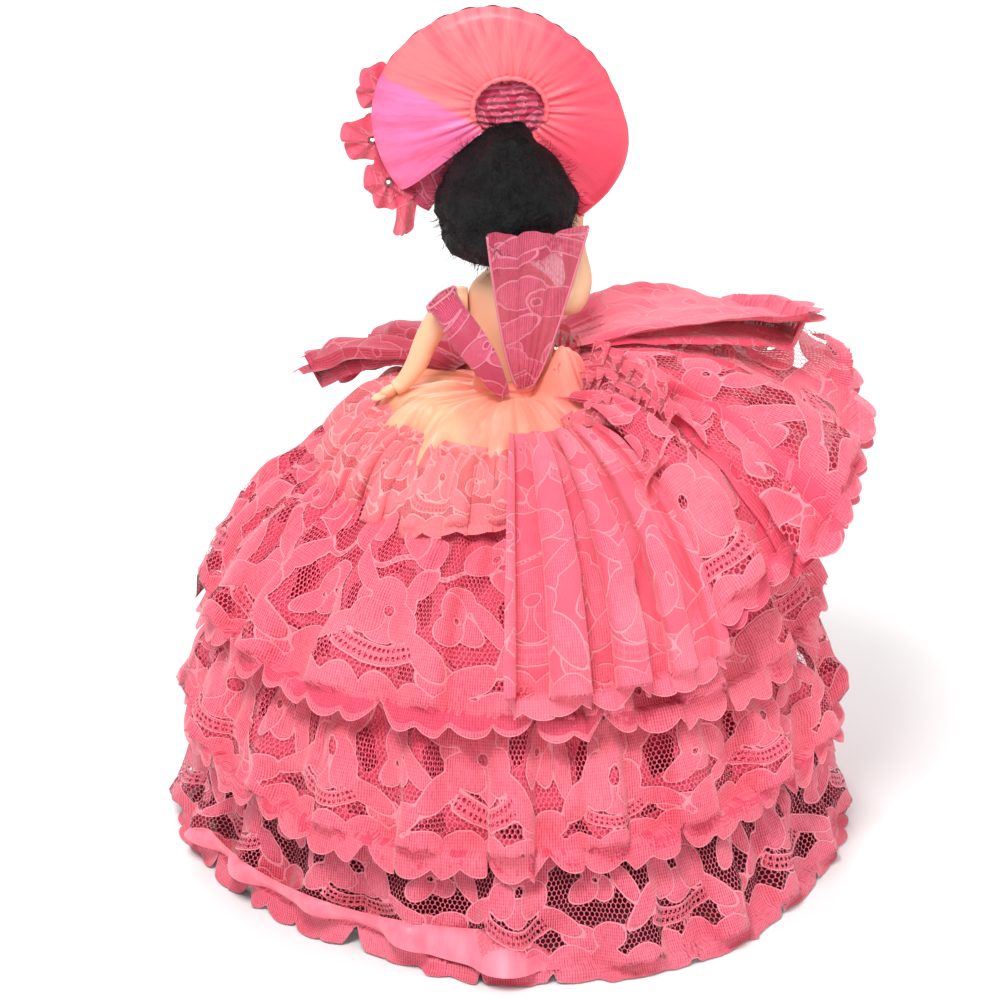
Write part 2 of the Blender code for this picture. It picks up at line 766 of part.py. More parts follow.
def hat_ribbon(finish, carrier):
    """A loose end of lace below the lowest rosette."""
    beside, over, radius = rosettes["hat_rosette_lower"]
    x = hole_x + beside
    top = hole_middle().z + over - radius * ribbon_start_share
    top_y = front_face_y([(x, top - ribbon_length)]) - gap - ribbon_thickness

    def surface(s, t):
        wave = ribbon_wave * t * math.sin(math.tau * t)
        return Vector((x - radius / 2 + ribbon_width * (s - 0.5), top_y + rosette_cup / 2 * t + wave,
                       top - ribbon_length * t))

    cloth("hat_ribbon_end", surface, 2, 5, ribbon_thickness, finish, carrier)


def hat(satin, lace, wire, carrier):
    brim_layer("hat_brim_back", 0, brim_thickness, satin, carrier)
    brim_layer("hat_brim_front", 2 * brim_wire_depth(), brim_front_thickness, lace, carrier)
    hat_wire(wire, carrier)
    hat_roll(satin, carrier)
    hat_ruche(lace, carrier)
    for name, (beside, over, radius) in rosettes.items():
        hat_rosette(name, beside, over, radius, lace, carrier)
    hat_ribbon(lace, carrier)


# Skirts

def skirt(name, profile, thickness, finish, fold=0.0, folds=0, columns=round_columns):
    """A skirt turned round Z, whose folds deepen from its seam to its hem."""
    def surface(s, t):
        radius, z = follow(profile, t)
        angle = math.tau * s
        radius += fold * t * math.sin(folds * angle)
        return Vector((radius * math.cos(angle), radius * math.sin(angle), z))

    return cloth(name, surface, columns, len(profile) - 1, thickness, finish, round_it=True)


def foundation_radius(z):
    heights = [row[1] for row in reversed(foundation_profile)]
    radii = [row[0] for row in reversed(foundation_profile)]
    return float(np.interp(z, heights, radii))


def around(shares, angle):
    """Reads a closed table of shares at an azimuth, in a smooth curve through its rows."""
    station = (angle % math.tau) / math.tau * len(shares)
    low = int(station) % len(shares)
    ease = (1 - math.cos(math.pi * (station - int(station)))) / 2
    return shares[low] * (1 - ease) + shares[(low + 1) % len(shares)] * ease


def add_waves(table, angle):
    return sum(share * math.sin(waves * angle + start) for waves, share, start in table)


def fold_angle(name, s):
    """The azimuth of the tier's crest or valley at a share of its folds."""
    angle = math.tau * s
    for _ in range(12):
        angle = math.tau * s - add_waves(tier_sway_shares[name], angle) / tier_folds
    return angle


def lace_tier(name, finish):
    """A gathered tier sewn to the foundation skirt along its top seam."""
    seam_z, hem_radius, hem_z, fold, bulge = tier_tables[name]
    lean = (foundation_radius(seam_z - seam_step) - foundation_radius(seam_z + seam_step)) / (2 * seam_step)
    stand_off = ((foundation_thickness + tier_thickness) / 2 + gap) * math.hypot(1, lean)
    facet_bow = foundation_radius(seam_z) * (1 - math.cos(1.2 * math.pi / round_columns))
    seam_radius = foundation_radius(seam_z) + stand_off + facet_bow
    lowest = name == "lace_tier_lower"

    def surface(s, t):
        angle = fold_angle(name, s)
        reach = hem_reach * around(hem_reach_shares, angle) if lowest else hem_radius
        lift = hem_lift * around(hem_lift_shares, angle) if lowest else 0
        radius = seam_radius + (reach - seam_radius) * t + bulge * math.sin(math.pi * t)
        swell = fold * t * (1 + add_waves(tier_growth_shares[name], angle)) * math.cos(math.tau * tier_folds * s)
        slope = 0 if lowest else (hem_radius - seam_radius) / (seam_z - hem_z)
        radius += swell / math.hypot(1, slope)
        dip = tier_dip * add_waves(tier_dip_shares[name], angle)
        z = seam_z + (hem_z + (lift + dip) * t - seam_z) * t + swell * slope / math.hypot(1, slope)
        return Vector((radius * math.cos(angle), radius * math.sin(angle), z))

    return cloth(name, surface, 2 * tier_folds, 4, tier_thickness, finish, round_it=True)


def hem_binding(finish):
    """The band that joins both hems and lies flat on the floor."""
    inner = inner_profile[-1][0] - inner_thickness / 2 - binding_overhang
    outer = foundation_profile[-1][0] + foundation_thickness / 2 + binding_overhang
    middle = (inner + outer) / 2

    def surface(s, t):
        angle = math.tau * s
        z = binding_height * t
        return Vector((middle * math.cos(angle), middle * math.sin(angle), z))

    cloth("hem_binding", surface, round_columns, 1, outer - inner, finish, round_it=True)


def back_pleats(finish):
    def surface(s, t):
        radius, z = follow(pleat_profile, t)
        angle = pleat_start + (pleat_end - pleat_start) * s
        grow = pleat_start_share + (1 - pleat_start_share) * t
        swell = pleat_depth * grow * math.sin(math.tau * pleat_count * s)
        radius += swell * pleat_slant_share
        return Vector((radius * math.cos(angle), radius * math.sin(angle), z + swell * pleat_slant_share))

    cloth("back_pleats", surface, 4 * pleat_count, len(pleat_profile) - 1, pleat_thickness, finish)


def satin_top(radius):
    """The height of the satin overskirt's upper face at a radius."""
    radii = [row[0] for row in satin_profile]
    return float(np.interp(radius, radii, [row[1] for row in satin_profile])) + satin_thickness / 2


def heading_reach(rise):
    """How far out the gathered heading's outer face stands at a height over the satin."""
    share = min(rise / heading_height, 1)
    return heading_radius + heading_thickness / 2 + heading_wave * share


def hip_heading(finish):
    """The curly gathered edge that stands up where the hip flounces start."""
    foot = satin_top(heading_radius) + soft_gap

    def surface(s, t):
        angle = heading_start + (heading_end - heading_start) * s
        radius = heading_radius + heading_wave * t * math.sin(math.tau * heading_waves * s)
        return Vector((radius * math.cos(angle), radius * math.sin(angle), foot + heading_height * t))

    cloth("hip_heading", surface, 4 * heading_waves, 1, heading_thickness, finish)


def flounce(name, finish):
    """A fan of lace that flares out from the gathered hip."""
    root_rise, hem_z, hem_radius, arch, fold = flounce_sizes[name]
    start, end = [math.radians(degrees) for degrees in flounce_degrees[name]]
    folds = flounce_folds[name]
    root_radius = heading_reach(root_rise) + soft_gap
    root_z = satin_top(root_radius) + root_rise + flounce_thickness / 2

    def surface(s, t):
        angle = start + (end - start) * s
        reach = hem_radius * (flounce_corner_share + (1 - flounce_corner_share) * math.sin(math.pi * s) ** 2)
        radius = root_radius + (reach - root_radius) * t
        swell = fold * t * math.sin(math.tau * folds * s)
        z = root_z + (hem_z - root_z) * t + arch * math.sin(math.pi * t) + swell
        return Vector((radius * math.cos(angle), radius * math.sin(angle), z))

    cloth(name, surface, 6 * folds, 4, flounce_thickness, finish)


def lower_cap(finish, carrier):
    """The lower doll's gathered cap: its padded crown is flat where the doll stands on it."""
    profile = [
        (cap_flat_radius, 0),
        (cap_radius - cap_bevel_z, cap_bevel_z),
        (cap_radius, cap_shoulder_z),
        (cap_radius, cap_rim_z),
    ]
    cap = turned("lower_cap", profile, 24, finish, carrier)
    clear = hair_radius + hair_lump + gap
    middle = Vector((0, 0, doll_z(hair_height, -1)))

    def surface(longitude, latitude):
        flat = math.cos(latitude)
        way = Vector((flat * math.cos(longitude), flat * math.sin(longitude), math.sin(latitude)))
        return middle + way * clear

    cut(cap, ball("lower_cap_hollow", surface, 24, 16, finish, carrier))


def build():
    for old in list(bpy.data.objects):
        bpy.data.objects.remove(old, do_unlink=True)
    skin = paint("skin_plastic", (0.80, 0.52, 0.33), 0.45)
    hair = paint("black_mohair", (0.012, 0.011, 0.012), 0.9)
    lace = paint("coral_lace", (0.93, 0.16, 0.22), 0.8)
    satin = paint("pink_satin", (0.95, 0.20, 0.28), 0.45)
    peach = paint("peach_satin", (0.97, 0.45, 0.32), 0.45)
    dark = paint("maroon_cotton", (0.10, 0.02, 0.03), 0.9)
    wood = paint("dowel_wood", (0.62, 0.45, 0.27), 0.7)
    wire = paint("steel_wire", (0.6, 0.6, 0.62), 0.35)

    upper = {
        "head": axis_empty("upper_head_axis", (0, 0, doll_z(head_height, 1))),
        "left": axis_empty("upper_left_arm_axis", (0, 0, doll_z(shoulder_height, 1))),
        "right": axis_empty("upper_right_arm_axis", (0, 0, doll_z(shoulder_height, 1))),
    }
    lower = {
        "head": axis_empty("lower_head_axis", (0, 0, doll_z(head_height, -1))),
        "left": axis_empty("lower_left_arm_axis", (0, 0, doll_z(shoulder_height, -1))),
        "right": axis_empty("lower_right_arm_axis", (0, 0, doll_z(shoulder_height, -1))),
    }
    lower_arm = [(x, y, -height, radius) for x, y, height, radius in lower_arm_course]
    half_doll("upper", 1, upper_hair_shift, (left_arm_course, right_arm_course), upper, skin, hair, lace, peach)
    half_doll("lower", -1, Vector(), (lower_arm, lower_arm), lower, skin, hair, dark, dark)
    hip_join(wood, dark)
    left_strap(lace)
    collar_panel(lace)
    hat(satin, lace, wire, upper["head"])
    skirt("foundation_skirt", foundation_profile, foundation_thickness, satin)
    skirt("inner_skirt", inner_profile, inner_thickness, dark, columns=32)
    hem_binding(peach)
    skirt("satin_overskirt", satin_profile, satin_thickness, peach, satin_fold, satin_folds)
    skirt("overskirt_lace_edging", edging_profile, edging_thickness, lace, edging_fold, satin_folds)
    for name in tier_tables:
        lace_tier(name, lace)
    back_pleats(lace)
    hip_heading(lace)
    for name in flounce_sizes:
        flounce(name, lace)
    lower_cap(dark, lower["head"])


build()
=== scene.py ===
import math
import random

import bmesh
import bpy
import numpy as np
from mathutils import Matrix, Vector, noise


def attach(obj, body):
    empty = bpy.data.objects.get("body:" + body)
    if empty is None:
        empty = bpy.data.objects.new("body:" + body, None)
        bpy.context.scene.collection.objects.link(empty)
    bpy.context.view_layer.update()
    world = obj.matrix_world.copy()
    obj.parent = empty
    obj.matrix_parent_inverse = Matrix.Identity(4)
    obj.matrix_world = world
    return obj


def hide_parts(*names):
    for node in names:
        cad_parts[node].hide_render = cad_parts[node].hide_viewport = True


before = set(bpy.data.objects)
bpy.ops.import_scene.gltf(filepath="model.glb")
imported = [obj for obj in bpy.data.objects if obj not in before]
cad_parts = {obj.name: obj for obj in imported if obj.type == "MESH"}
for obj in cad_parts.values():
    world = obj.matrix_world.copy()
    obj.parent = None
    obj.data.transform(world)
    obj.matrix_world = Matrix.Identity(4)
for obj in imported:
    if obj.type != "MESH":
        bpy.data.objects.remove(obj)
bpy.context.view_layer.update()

MM = 0.001
TAU = math.tau


# Camera, floor and light. The photograph shows the doll's back from above.

PHOTO_SIZE = 1000
PIXEL = 0.00031
MIDLINE_PIXEL_X = 513
FLOOR_PIXEL_Y = 830
CAMERA_ELEVATION = math.radians(25)
CAMERA_DISTANCE = 1.7
VIEW_MARGIN = 1.03


def add_camera():
    middle_x = (MIDLINE_PIXEL_X - PHOTO_SIZE / 2) * PIXEL
    middle_z = (FLOOR_PIXEL_Y - PHOTO_SIZE / 2) * PIXEL / math.cos(CAMERA_ELEVATION)
    target = Vector((middle_x, 0, middle_z))
    way = Vector((0, math.cos(CAMERA_ELEVATION), math.sin(CAMERA_ELEVATION)))
    data = bpy.data.cameras.new("photo_camera")
    data.sensor_width = 36
    half_view = PHOTO_SIZE * PIXEL / 2 * VIEW_MARGIN
    data.lens = data.sensor_width / 2 * CAMERA_DISTANCE / half_view
    camera = bpy.data.objects.new("photo_camera", data)
    camera.location = target + way * CAMERA_DISTANCE
    camera.rotation_euler = (camera.location - target).to_track_quat("Z", "Y").to_euler()
    bpy.context.scene.collection.objects.link(camera)
    bpy.context.scene.camera = camera


def add_light(name, place, target, size, power):
    data = bpy.data.lights.new(name, "AREA")
    data.size = size
    data.energy = power
    light = bpy.data.objects.new(name, data)
    light.location = place
    light.rotation_euler = (Vector(place) - Vector(target)).to_track_quat("Z", "Y").to_euler()
    bpy.context.scene.collection.objects.link(light)


def add_stage():
    floor = fresh_object("studio_floor", *plane_grid(3.0))
    floor.data.materials.append(plain_material("studio_floor", (0.86, 0.86, 0.86), 0.9))
    middle = (0, 0, 0.12)
    add_light("key_light", (0.25, 0.75, 1.3), middle, 0.45, 17)
    add_light("fill_light", (-0.9, 0.5, 0.7), middle, 0.9, 3)
    add_light("front_light", (0.2, -1.1, 0.9), middle, 0.8, 10)
    world = bpy.data.worlds.new("soft_sky")
    world.use_nodes = True
    background = world.node_tree.nodes["Background"]
    background.inputs["Color"].default_value = (1, 1, 1, 1)
    background.inputs["Strength"].default_value = 0.62
    bpy.context.scene.world = world
    bpy.context.scene.view_settings.view_transform = "Standard"


# Meshes

def plane_grid(size):
    half = size / 2
    return [(-half, -half, 0), (half, -half, 0), (half, half, 0), (-half, half, 0)], [(0, 1, 2, 3)]


def fresh_object(name, points, faces, smooth=True):
    mesh = bpy.data.meshes.new(name)
    mesh.from_pydata([tuple(point) for point in points], [], [tuple(face) for face in faces])
    if smooth:
        mesh.shade_smooth()
    item = bpy.data.objects.new(name, mesh)
    bpy.context.scene.collection.objects.link(item)
    return item


def grid_object(name, points, round_it=False):
    """A sheet through points[i, j]; with round_it the last column joins the first."""
    columns, rows = points.shape[:2]
    first = np.arange(columns if round_it else columns - 1)
    after = (first + 1) % columns
    j = np.arange(rows - 1)
    corner = (first[:, None] * rows + j[None, :]).ravel()
    beside = (after[:, None] * rows + j[None, :]).ravel()
    faces = np.stack([corner, beside, beside + 1, corner + 1], axis=1)
    mesh = bpy.data.meshes.new(name)
    mesh.vertices.add(columns * rows)
    mesh.vertices.foreach_set("co", points.reshape(-1, 3).astype(np.float32).ravel())
    mesh.loops.add(faces.size)
    mesh.loops.foreach_set("vertex_index", faces.astype(np.int32).ravel())
    mesh.polygons.add(len(faces))
    mesh.polygons.foreach_set("loop_start", np.arange(0, faces.size, 4, dtype=np.int32))
    mesh.update(calc_edges=True)
    mesh.validate()
    mesh.shade_smooth()
    item = bpy.data.objects.new(name, mesh)
    bpy.context.scene.collection.objects.link(item)
    return item


def add_float(item, name, values):
    layer = item.data.attributes.new(name, "FLOAT", "POINT")
    layer.data.foreach_set("value", np.asarray(values, np.float32).ravel())


def add_vector(item, name, x, y, z):
    layer = item.data.attributes.new(name, "FLOAT_VECTOR", "POINT")
    layer.data.foreach_set("vector", np.stack([x, y, z], axis=-1).astype(np.float32).ravel())


# Material helpers: every node tree is written as formulas

class Tree:
    def __init__(self, name):
        self.material = bpy.data.materials.new(name)
        self.material.use_nodes = True
        self.nodes = self.material.node_tree.nodes
        self.links = self.material.node_tree.links
        self.shader = self.nodes["Principled BSDF"]

    def feed(self, socket, value):
        if isinstance(value, bpy.types.NodeSocket):
            self.links.new(value, socket)
        else:
            socket.default_value = value

    def math(self, operation, a, b=0.0, c=0.0, clamp=False):
        node = self.nodes.new("ShaderNodeMath")
        node.operation = operation
        node.use_clamp = clamp
        for socket, value in zip(node.inputs, (a, b, c)):
            self.feed(socket, value)
        return node.outputs[0]

    def vector_math(self, operation, a, b=(0.0, 0.0, 0.0)):
        node = self.nodes.new("ShaderNodeVectorMath")
        node.operation = operation
        self.feed(node.inputs[0], a)
        self.feed(node.inputs[1], b)
        return node.outputs["Value"] if operation in ("LENGTH", "DOT_PRODUCT") else node.outputs["Vector"]

    def ramp(self, value, low, high, out_low=0.0, out_high=1.0):
        node = self.nodes.new("ShaderNodeMapRange")
        node.clamp = True
        self.feed(node.inputs["Value"], value)
        node.inputs["From Min"].default_value = low
        node.inputs["From Max"].default_value = high
        node.inputs["To Min"].default_value = out_low
        node.inputs["To Max"].default_value = out_high
        return node.outputs["Result"]

    def mix(self, share, a, b):
        node = self.nodes.new("ShaderNodeMix")
        node.data_type = "RGBA"
        self.feed(node.inputs["Factor"], share)
        self.feed(node.inputs["A"], a if isinstance(a, bpy.types.NodeSocket) else (*a, 1))
        self.feed(node.inputs["B"], b if isinstance(b, bpy.types.NodeSocket) else (*b, 1))
        return node.outputs["Result"]

    def attribute(self, name, output="Fac"):
        node = self.nodes.new("ShaderNodeAttribute")
        node.attribute_name = name
        return node.outputs[output]

    def place(self):
        return self.nodes.new("ShaderNodeTexCoord").outputs["Object"]

    def split(self, vector):
        node = self.nodes.new("ShaderNodeSeparateXYZ")
        self.feed(node.inputs[0], vector)
        return node.outputs

    def join(self, x, y, z=0.0):
        node = self.nodes.new("ShaderNodeCombineXYZ")
        for socket, value in zip(node.inputs, (x, y, z)):
            self.feed(socket, value)
        return node.outputs[0]

    def noise(self, vector, size, detail=3.0, rough=0.5):
        node = self.nodes.new("ShaderNodeTexNoise")
        self.feed(node.inputs["Vector"], vector)
        node.inputs["Scale"].default_value = 1 / size
        node.inputs["Detail"].default_value = detail
        node.inputs["Roughness"].default_value = rough
        return node.outputs["Fac"]

    def bump(self, height, depth, strength=1.0, below=None):
        node = self.nodes.new("ShaderNodeBump")
        node.inputs["Strength"].default_value = strength
        node.inputs["Distance"].default_value = depth
        self.feed(node.inputs["Height"], height)
        if below is not None:
            self.links.new(below, node.inputs["Normal"])
        return node.outputs["Normal"]

    def finish(self, **sockets):
        for label, value in sockets.items():
            socket = self.shader.inputs[label.replace("_", " ")]
            if isinstance(value, tuple) and len(value) == 3 and socket.type == "RGBA":
                value = (*value, 1)
            self.feed(socket, value)
        return self.material


def plain_material(name, colour, roughness):
    tree = Tree(name)
    speck = tree.noise(tree.place(), 0.05)
    darker = tuple(channel * 0.97 for channel in colour)
    return tree.finish(Base_Color=tree.mix(speck, colour, darker), Roughness=roughness)


# Lace design, in metres on the flat cloth: u along the hem, w up from the hem's nominal line

REPEAT_WIDTH = 66 * MM
REPEAT_HEIGHT = 58 * MM
SCALLOP_WIDTH = 13.2 * MM
SCALLOP_DEPTH = 3.0 * MM
WIDE_LOBE_DEPTH = 5.0 * MM
# Each ellipse: x, y, half length, half width in millimetres, and its turn in degrees
PETALS_A = [
    (0.0, 31.5, 6.8, 5.4, 0), (-7.2, 22.0, 5.6, 6.4, 20), (7.4, 21.6, 5.6, 6.4, -20),
    (-17.5, 16.5, 8.2, 3.3, 38), (18.5, 13.5, 8.6, 3.2, -32), (-13.0, 38.0, 8.0, 3.2, -42),
    (30.0, 30.5, 5.2, 4.0, 90), (27.0, 23.0, 5.4, 3.8, 215), (-24.0, 50.0, 7.0, 5.4, 20),
    (8.0, 53.0, 7.4, 5.2, -15), (-31.0, 9.0, 6.4, 4.2, 15),
]
PETALS_B = [
    (-6.6, 29.0, 5.6, 5.6, 40), (6.8, 28.6, 5.6, 5.6, -40), (0.0, 18.2, 6.6, 5.0, 0),
    (14.5, 37.0, 8.4, 3.2, 40), (-24.0, 25.0, 8.0, 3.0, -60), (33.0, 24.0, 5.2, 3.8, -35),
    (-33.0, 34.0, 5.0, 4.4, 10), (-15.0, 53.0, 6.0, 5.0, -20), (17.5, 50.0, 6.0, 5.0, 30),
    (25.0, 8.0, 6.6, 4.0, -12),
]
EYES = [(0.0, 25.0, 2.3), (30.5, 26.5, 1.3), (-19.0, 50.5, 1.6)]
CRESCENT_MIDDLE = (0.0, 34.0)
CRESCENT_RADIUS = 24.5
CRESCENT_HALF_ANGLE = math.radians(34)
CRESCENT_HALF_WIDTH = 2.5


def scallop(u):
    """How far the hem reaches below its nominal line."""
    lobe = np.abs(np.sin(math.pi * u / SCALLOP_WIDTH))
    wide = np.abs(np.sin(math.pi * u / REPEAT_WIDTH * 1.5 + 0.6 * np.sin(TAU * u / REPEAT_WIDTH)))
    return SCALLOP_DEPTH * lobe ** 0.75 + WIDE_LOBE_DEPTH * wide ** 0.7


def ellipse_field(x, y, petal):
    cx, cy, half_length, half_width, turn = petal
    angle = math.radians(turn)
    dx = x - cx
    dx = (dx + REPEAT_WIDTH / MM / 2) % (REPEAT_WIDTH / MM) - REPEAT_WIDTH / MM / 2
    dy = y - cy
    along = dx * math.cos(angle) + dy * math.sin(angle)
    aside = -dx * math.sin(angle) + dy * math.cos(angle)
    share = np.sqrt((along / half_length) ** 2 + (aside / half_width) ** 2)
    return (share - 1) * min(half_length, half_width)


def lace_fields(u, w, scale=1.0, swell=0.75):
    """Distances in millimetres to the two layers of dense petals, and the eyelets' own coordinates."""
    x = u / MM / scale
    y = w / MM / scale
    height = REPEAT_HEIGHT / MM
    course = np.floor(np.maximum(y, 0) / height)
    y_cell = np.where(y < height, y, y - course * height)
    x_cell = x + course * REPEAT_WIDTH / MM / 2
    x_cell = x_cell + 2.4 * np.sin(x / 37 + y / 23)
    width = REPEAT_WIDTH / MM
    first = np.full(x.shape, 99.0)
    second = np.full(x.shape, 99.0)
    for lift in (0, height, -height):
        shift = 0 if lift == 0 else width / 2
        for petal in PETALS_A:
            first = np.minimum(first, ellipse_field(x_cell + shift, y_cell + lift, petal) - swell)
        for petal in PETALS_B:
            second = np.minimum(second, ellipse_field(x_cell + shift, y_cell + lift, petal) - swell)
    lobe = np.abs(np.sin(math.pi * x / (SCALLOP_WIDTH / MM)))
    band = y - (2.6 + 3.4 * lobe ** 0.8)
    first = np.minimum(first, band)
    stem = np.abs(y_cell - 44 - 3.5 * np.sin(TAU * x_cell / width * 2)) - 0.8
    second = np.minimum(second, stem)
    for cx, cy, radius in EYES:
        dx = (x_cell - cx + width / 2) % width - width / 2
        eye = radius - np.hypot(dx, y_cell - cy)
        first = np.maximum(first, eye)
        second = np.maximum(second, eye)
    dx = (x_cell - CRESCENT_MIDDLE[0] + width / 2) % width - width / 2
    dy = y_cell - CRESCENT_MIDDLE[1]
    turn = np.arctan2(dx, -dy)
    across = np.hypot(dx, dy) - CRESCENT_RADIUS
    inside = np.maximum(np.abs(across) - CRESCENT_HALF_WIDTH, (np.abs(turn) - CRESCENT_HALF_ANGLE) * CRESCENT_RADIUS)
    first = np.minimum(first, inside)
    return first * scale, second * scale, turn * CRESCENT_RADIUS, across, inside


def drawn_aside(item, seed):
    """A slow, uneven drift over a mesh's vertices, from about -1 to 1."""
    places = np.empty(len(item.data.vertices) * 3)
    item.data.vertices.foreach_get("co", places)
    places = places.reshape(-1, 3)
    dice = np.random.default_rng(seed)
    drift = np.zeros(len(places))
    for wave in (46 * MM, 66 * MM, 95 * MM):
        way = dice.normal(size=3)
        drift += np.sin(places @ (way / np.linalg.norm(way)) * TAU / wave + dice.uniform(0, TAU))
    return drift / 3


def dress_lace(item, u, w, scale=1.0, swell=0.75):
    """Stores the design on a lace mesh; u and w have one value for each vertex."""
    from_hem = np.clip(w / (16 * MM * scale), 0, 1)
    drawn_u = u + 7.5 * MM * scale * from_hem * drawn_aside(item, 4).reshape(u.shape)
    drawn_w = w + 6.0 * MM * scale * from_hem * drawn_aside(item, 9).reshape(u.shape)
    first, second, along, across, inside = lace_fields(drawn_u, drawn_w, scale, swell)
    add_float(item, "petal_a", first)
    add_float(item, "petal_b", second)
    add_vector(item, "eyelet", along, across, inside)
    add_vector(item, "cloth", u / MM / scale, w / MM / scale, np.zeros_like(u))
    mesh = item.data
    corners = np.empty(len(mesh.loops), np.int32)
    mesh.loops.foreach_get("vertex_index", corners)
    layer = mesh.uv_layers.new(name="cloth_flat")
    flat = np.stack([u.ravel()[corners], w.ravel()[corners]], axis=1).astype(np.float32)
    layer.data.foreach_set("uv", flat.ravel())


NET_PITCH_X = 1.75
NET_PITCH_Y = 3.0
NET_HOLE = 0.74
CORD_HALF_WIDTH = 0.27
THREAD_PITCH = 0.80


def lace_material(name, thread, dense, cord, deep, alpha_floor=0.0):
    """Hexagonal net, dense woven petals, a lighter cord round each of them, and eyelets; the gaps of the weave are
    painted with the darker deep colour as the shade seen through them.
    """
    tree = Tree(name)
    x, y, _ = tree.split(tree.attribute("cloth", "Vector"))
    petal_a = tree.attribute("petal_a")
    petal_b = tree.attribute("petal_b")
    wobble = tree.noise(tree.join(x, y), 3.0, 2.0)
    wobble = tree.math("MULTIPLY", tree.math("SUBTRACT", wobble, 0.5), 0.5)
    petal_a = tree.math("ADD", petal_a, wobble)
    petal_b = tree.math("ADD", petal_b, wobble)
    holes = []
    for shift in (0.0, 0.5):
        fx = tree.math("FRACT", tree.math("ADD", tree.math("DIVIDE", x, NET_PITCH_X), shift))
        fy = tree.math("FRACT", tree.math("ADD", tree.math("DIVIDE", y, NET_PITCH_Y), shift))
        dx = tree.math("MULTIPLY", tree.math("SUBTRACT", fx, 0.5), NET_PITCH_X)
        dy = tree.math("MULTIPLY", tree.math("SUBTRACT", fy, 0.5), NET_PITCH_Y * 0.92)
        holes.append(tree.vector_math("LENGTH", tree.join(dx, dy)))
    hole = tree.math("MINIMUM", *holes)
    net = tree.ramp(hole, NET_HOLE - 0.07, NET_HOLE + 0.07)
    ax, ay, inside = tree.split(tree.attribute("eyelet", "Vector"))
    ex = tree.math("SUBTRACT", tree.math("FRACT", tree.math("DIVIDE", ax, 1.9)), 0.5)
    ex = tree.math("MULTIPLY", ex, 1.9)
    ey = tree.math("SUBTRACT", tree.math("ABSOLUTE", ay), 1.05)
    eye = tree.vector_math("LENGTH", tree.join(ex, ey))
    eyelet = tree.math("MULTIPLY", tree.ramp(eye, 0.72, 0.62), tree.ramp(inside, -0.1, -0.4))
    nearest = tree.math("MINIMUM", petal_a, petal_b)
    solid = tree.ramp(nearest, 0.1, -0.1)
    solid = tree.math("MULTIPLY", solid, tree.math("SUBTRACT", 1.0, eyelet))
    cord_a = tree.ramp(tree.math("ABSOLUTE", petal_a), CORD_HALF_WIDTH + 0.08, CORD_HALF_WIDTH - 0.08)
    cord_b = tree.ramp(tree.math("ABSOLUTE", petal_b), CORD_HALF_WIDTH + 0.08, CORD_HALF_WIDTH - 0.08)
    cord_b = tree.math("MULTIPLY", cord_b, tree.ramp(petal_a, -0.4, 0.0))
    corded = tree.math("MAXIMUM", cord_a, cord_b)
    drift = tree.math("MULTIPLY", tree.noise(tree.join(x, y), 5.0, 2.0), 3.0)
    breaks = tree.noise(tree.join(tree.math("MULTIPLY", x, 2.2), tree.math("MULTIPLY", y, 0.45)), 1.0, 2.0)
    weave_x = tree.math("SINE", tree.math("ADD", tree.math("MULTIPLY", x, TAU / THREAD_PITCH), drift))
    weave_y = tree.math("SINE", tree.math("MULTIPLY", y, TAU / (THREAD_PITCH * 1.3)))
    weave = tree.math("MULTIPLY", tree.math("ADD", weave_x, tree.math("MULTIPLY", weave_y, 0.35)), 0.26)
    weave = tree.math("ADD", tree.math("ADD", weave, tree.math("MULTIPLY", breaks, 0.9)), 0.05, clamp=True)
    edge = tree.ramp(tree.math("ADD", y, tree.attribute("hem_line")), 0.55, 0.35)
    raised = tree.math("MAXIMUM", corded, edge)
    cover = tree.math("MAXIMUM", tree.math("MAXIMUM", net, solid), raised)
    alpha = tree.math("MAXIMUM", cover, alpha_floor) if alpha_floor else cover
    loose = tree.ramp(weave, 0.15, 0.45, 0.62, 1.0)
    alpha = tree.math("MULTIPLY", alpha, tree.math("MAXIMUM", tree.math("MAXIMUM", loose, raised), alpha_floor))
    tone = tree.noise(tree.place(), 0.030, 3.0)
    # Painted shade: the weave's gaps take the darker deep colour.
    woven = tree.mix(tree.ramp(weave, 0.2, 0.9), deep, dense)
    woven = tree.mix(tree.ramp(tone, 0.35, 0.7, 0.0, 0.55), woven, tree.mix(0.5, dense, cord))
    colour = tree.mix(solid, thread, woven)
    colour = tree.mix(tree.math("MULTIPLY", raised, 0.8), colour, cord)
    height = tree.math("ADD", tree.math("MULTIPLY", weave, 0.35), raised)
    normal = tree.bump(height, 0.0005, 0.8)
    return tree.finish(Base_Color=colour, Alpha=alpha, Normal=normal, Roughness=0.72,
                       Sheen_Weight=0.35, Sheen_Roughness=0.4)


# Gathered cloth. Azimuths run from +X towards +Y; t runs from the seam to the hem.

def smooth_path(points, count=200):
    """A smooth curve through (radius, height) rows, sampled evenly along its length."""
    rows = [np.array(row, float) for row in points]
    rows = [2 * rows[0] - rows[1]] + rows + [2 * rows[-1] - rows[-2]]
    samples = []
    for a, b, c, d in zip(rows, rows[1:], rows[2:], rows[3:]):
        for step in np.linspace(0, 1, 24, endpoint=False):
            samples.append(0.5 * ((2 * b) + (c - a) * step + (2 * a - 5 * b + 4 * c - d) * step ** 2
                                  + (3 * b - 3 * c + d - a) * step ** 3))
    samples.append(rows[-2])
    samples = np.array(samples)
    lengths = np.concatenate([[0], np.cumsum(np.linalg.norm(np.diff(samples, axis=0), axis=1))])
    stations = np.linspace(0, lengths[-1], count)
    return np.stack([np.interp(stations, lengths, samples[:, k]) for k in (0, 1)], axis=1), lengths[-1]


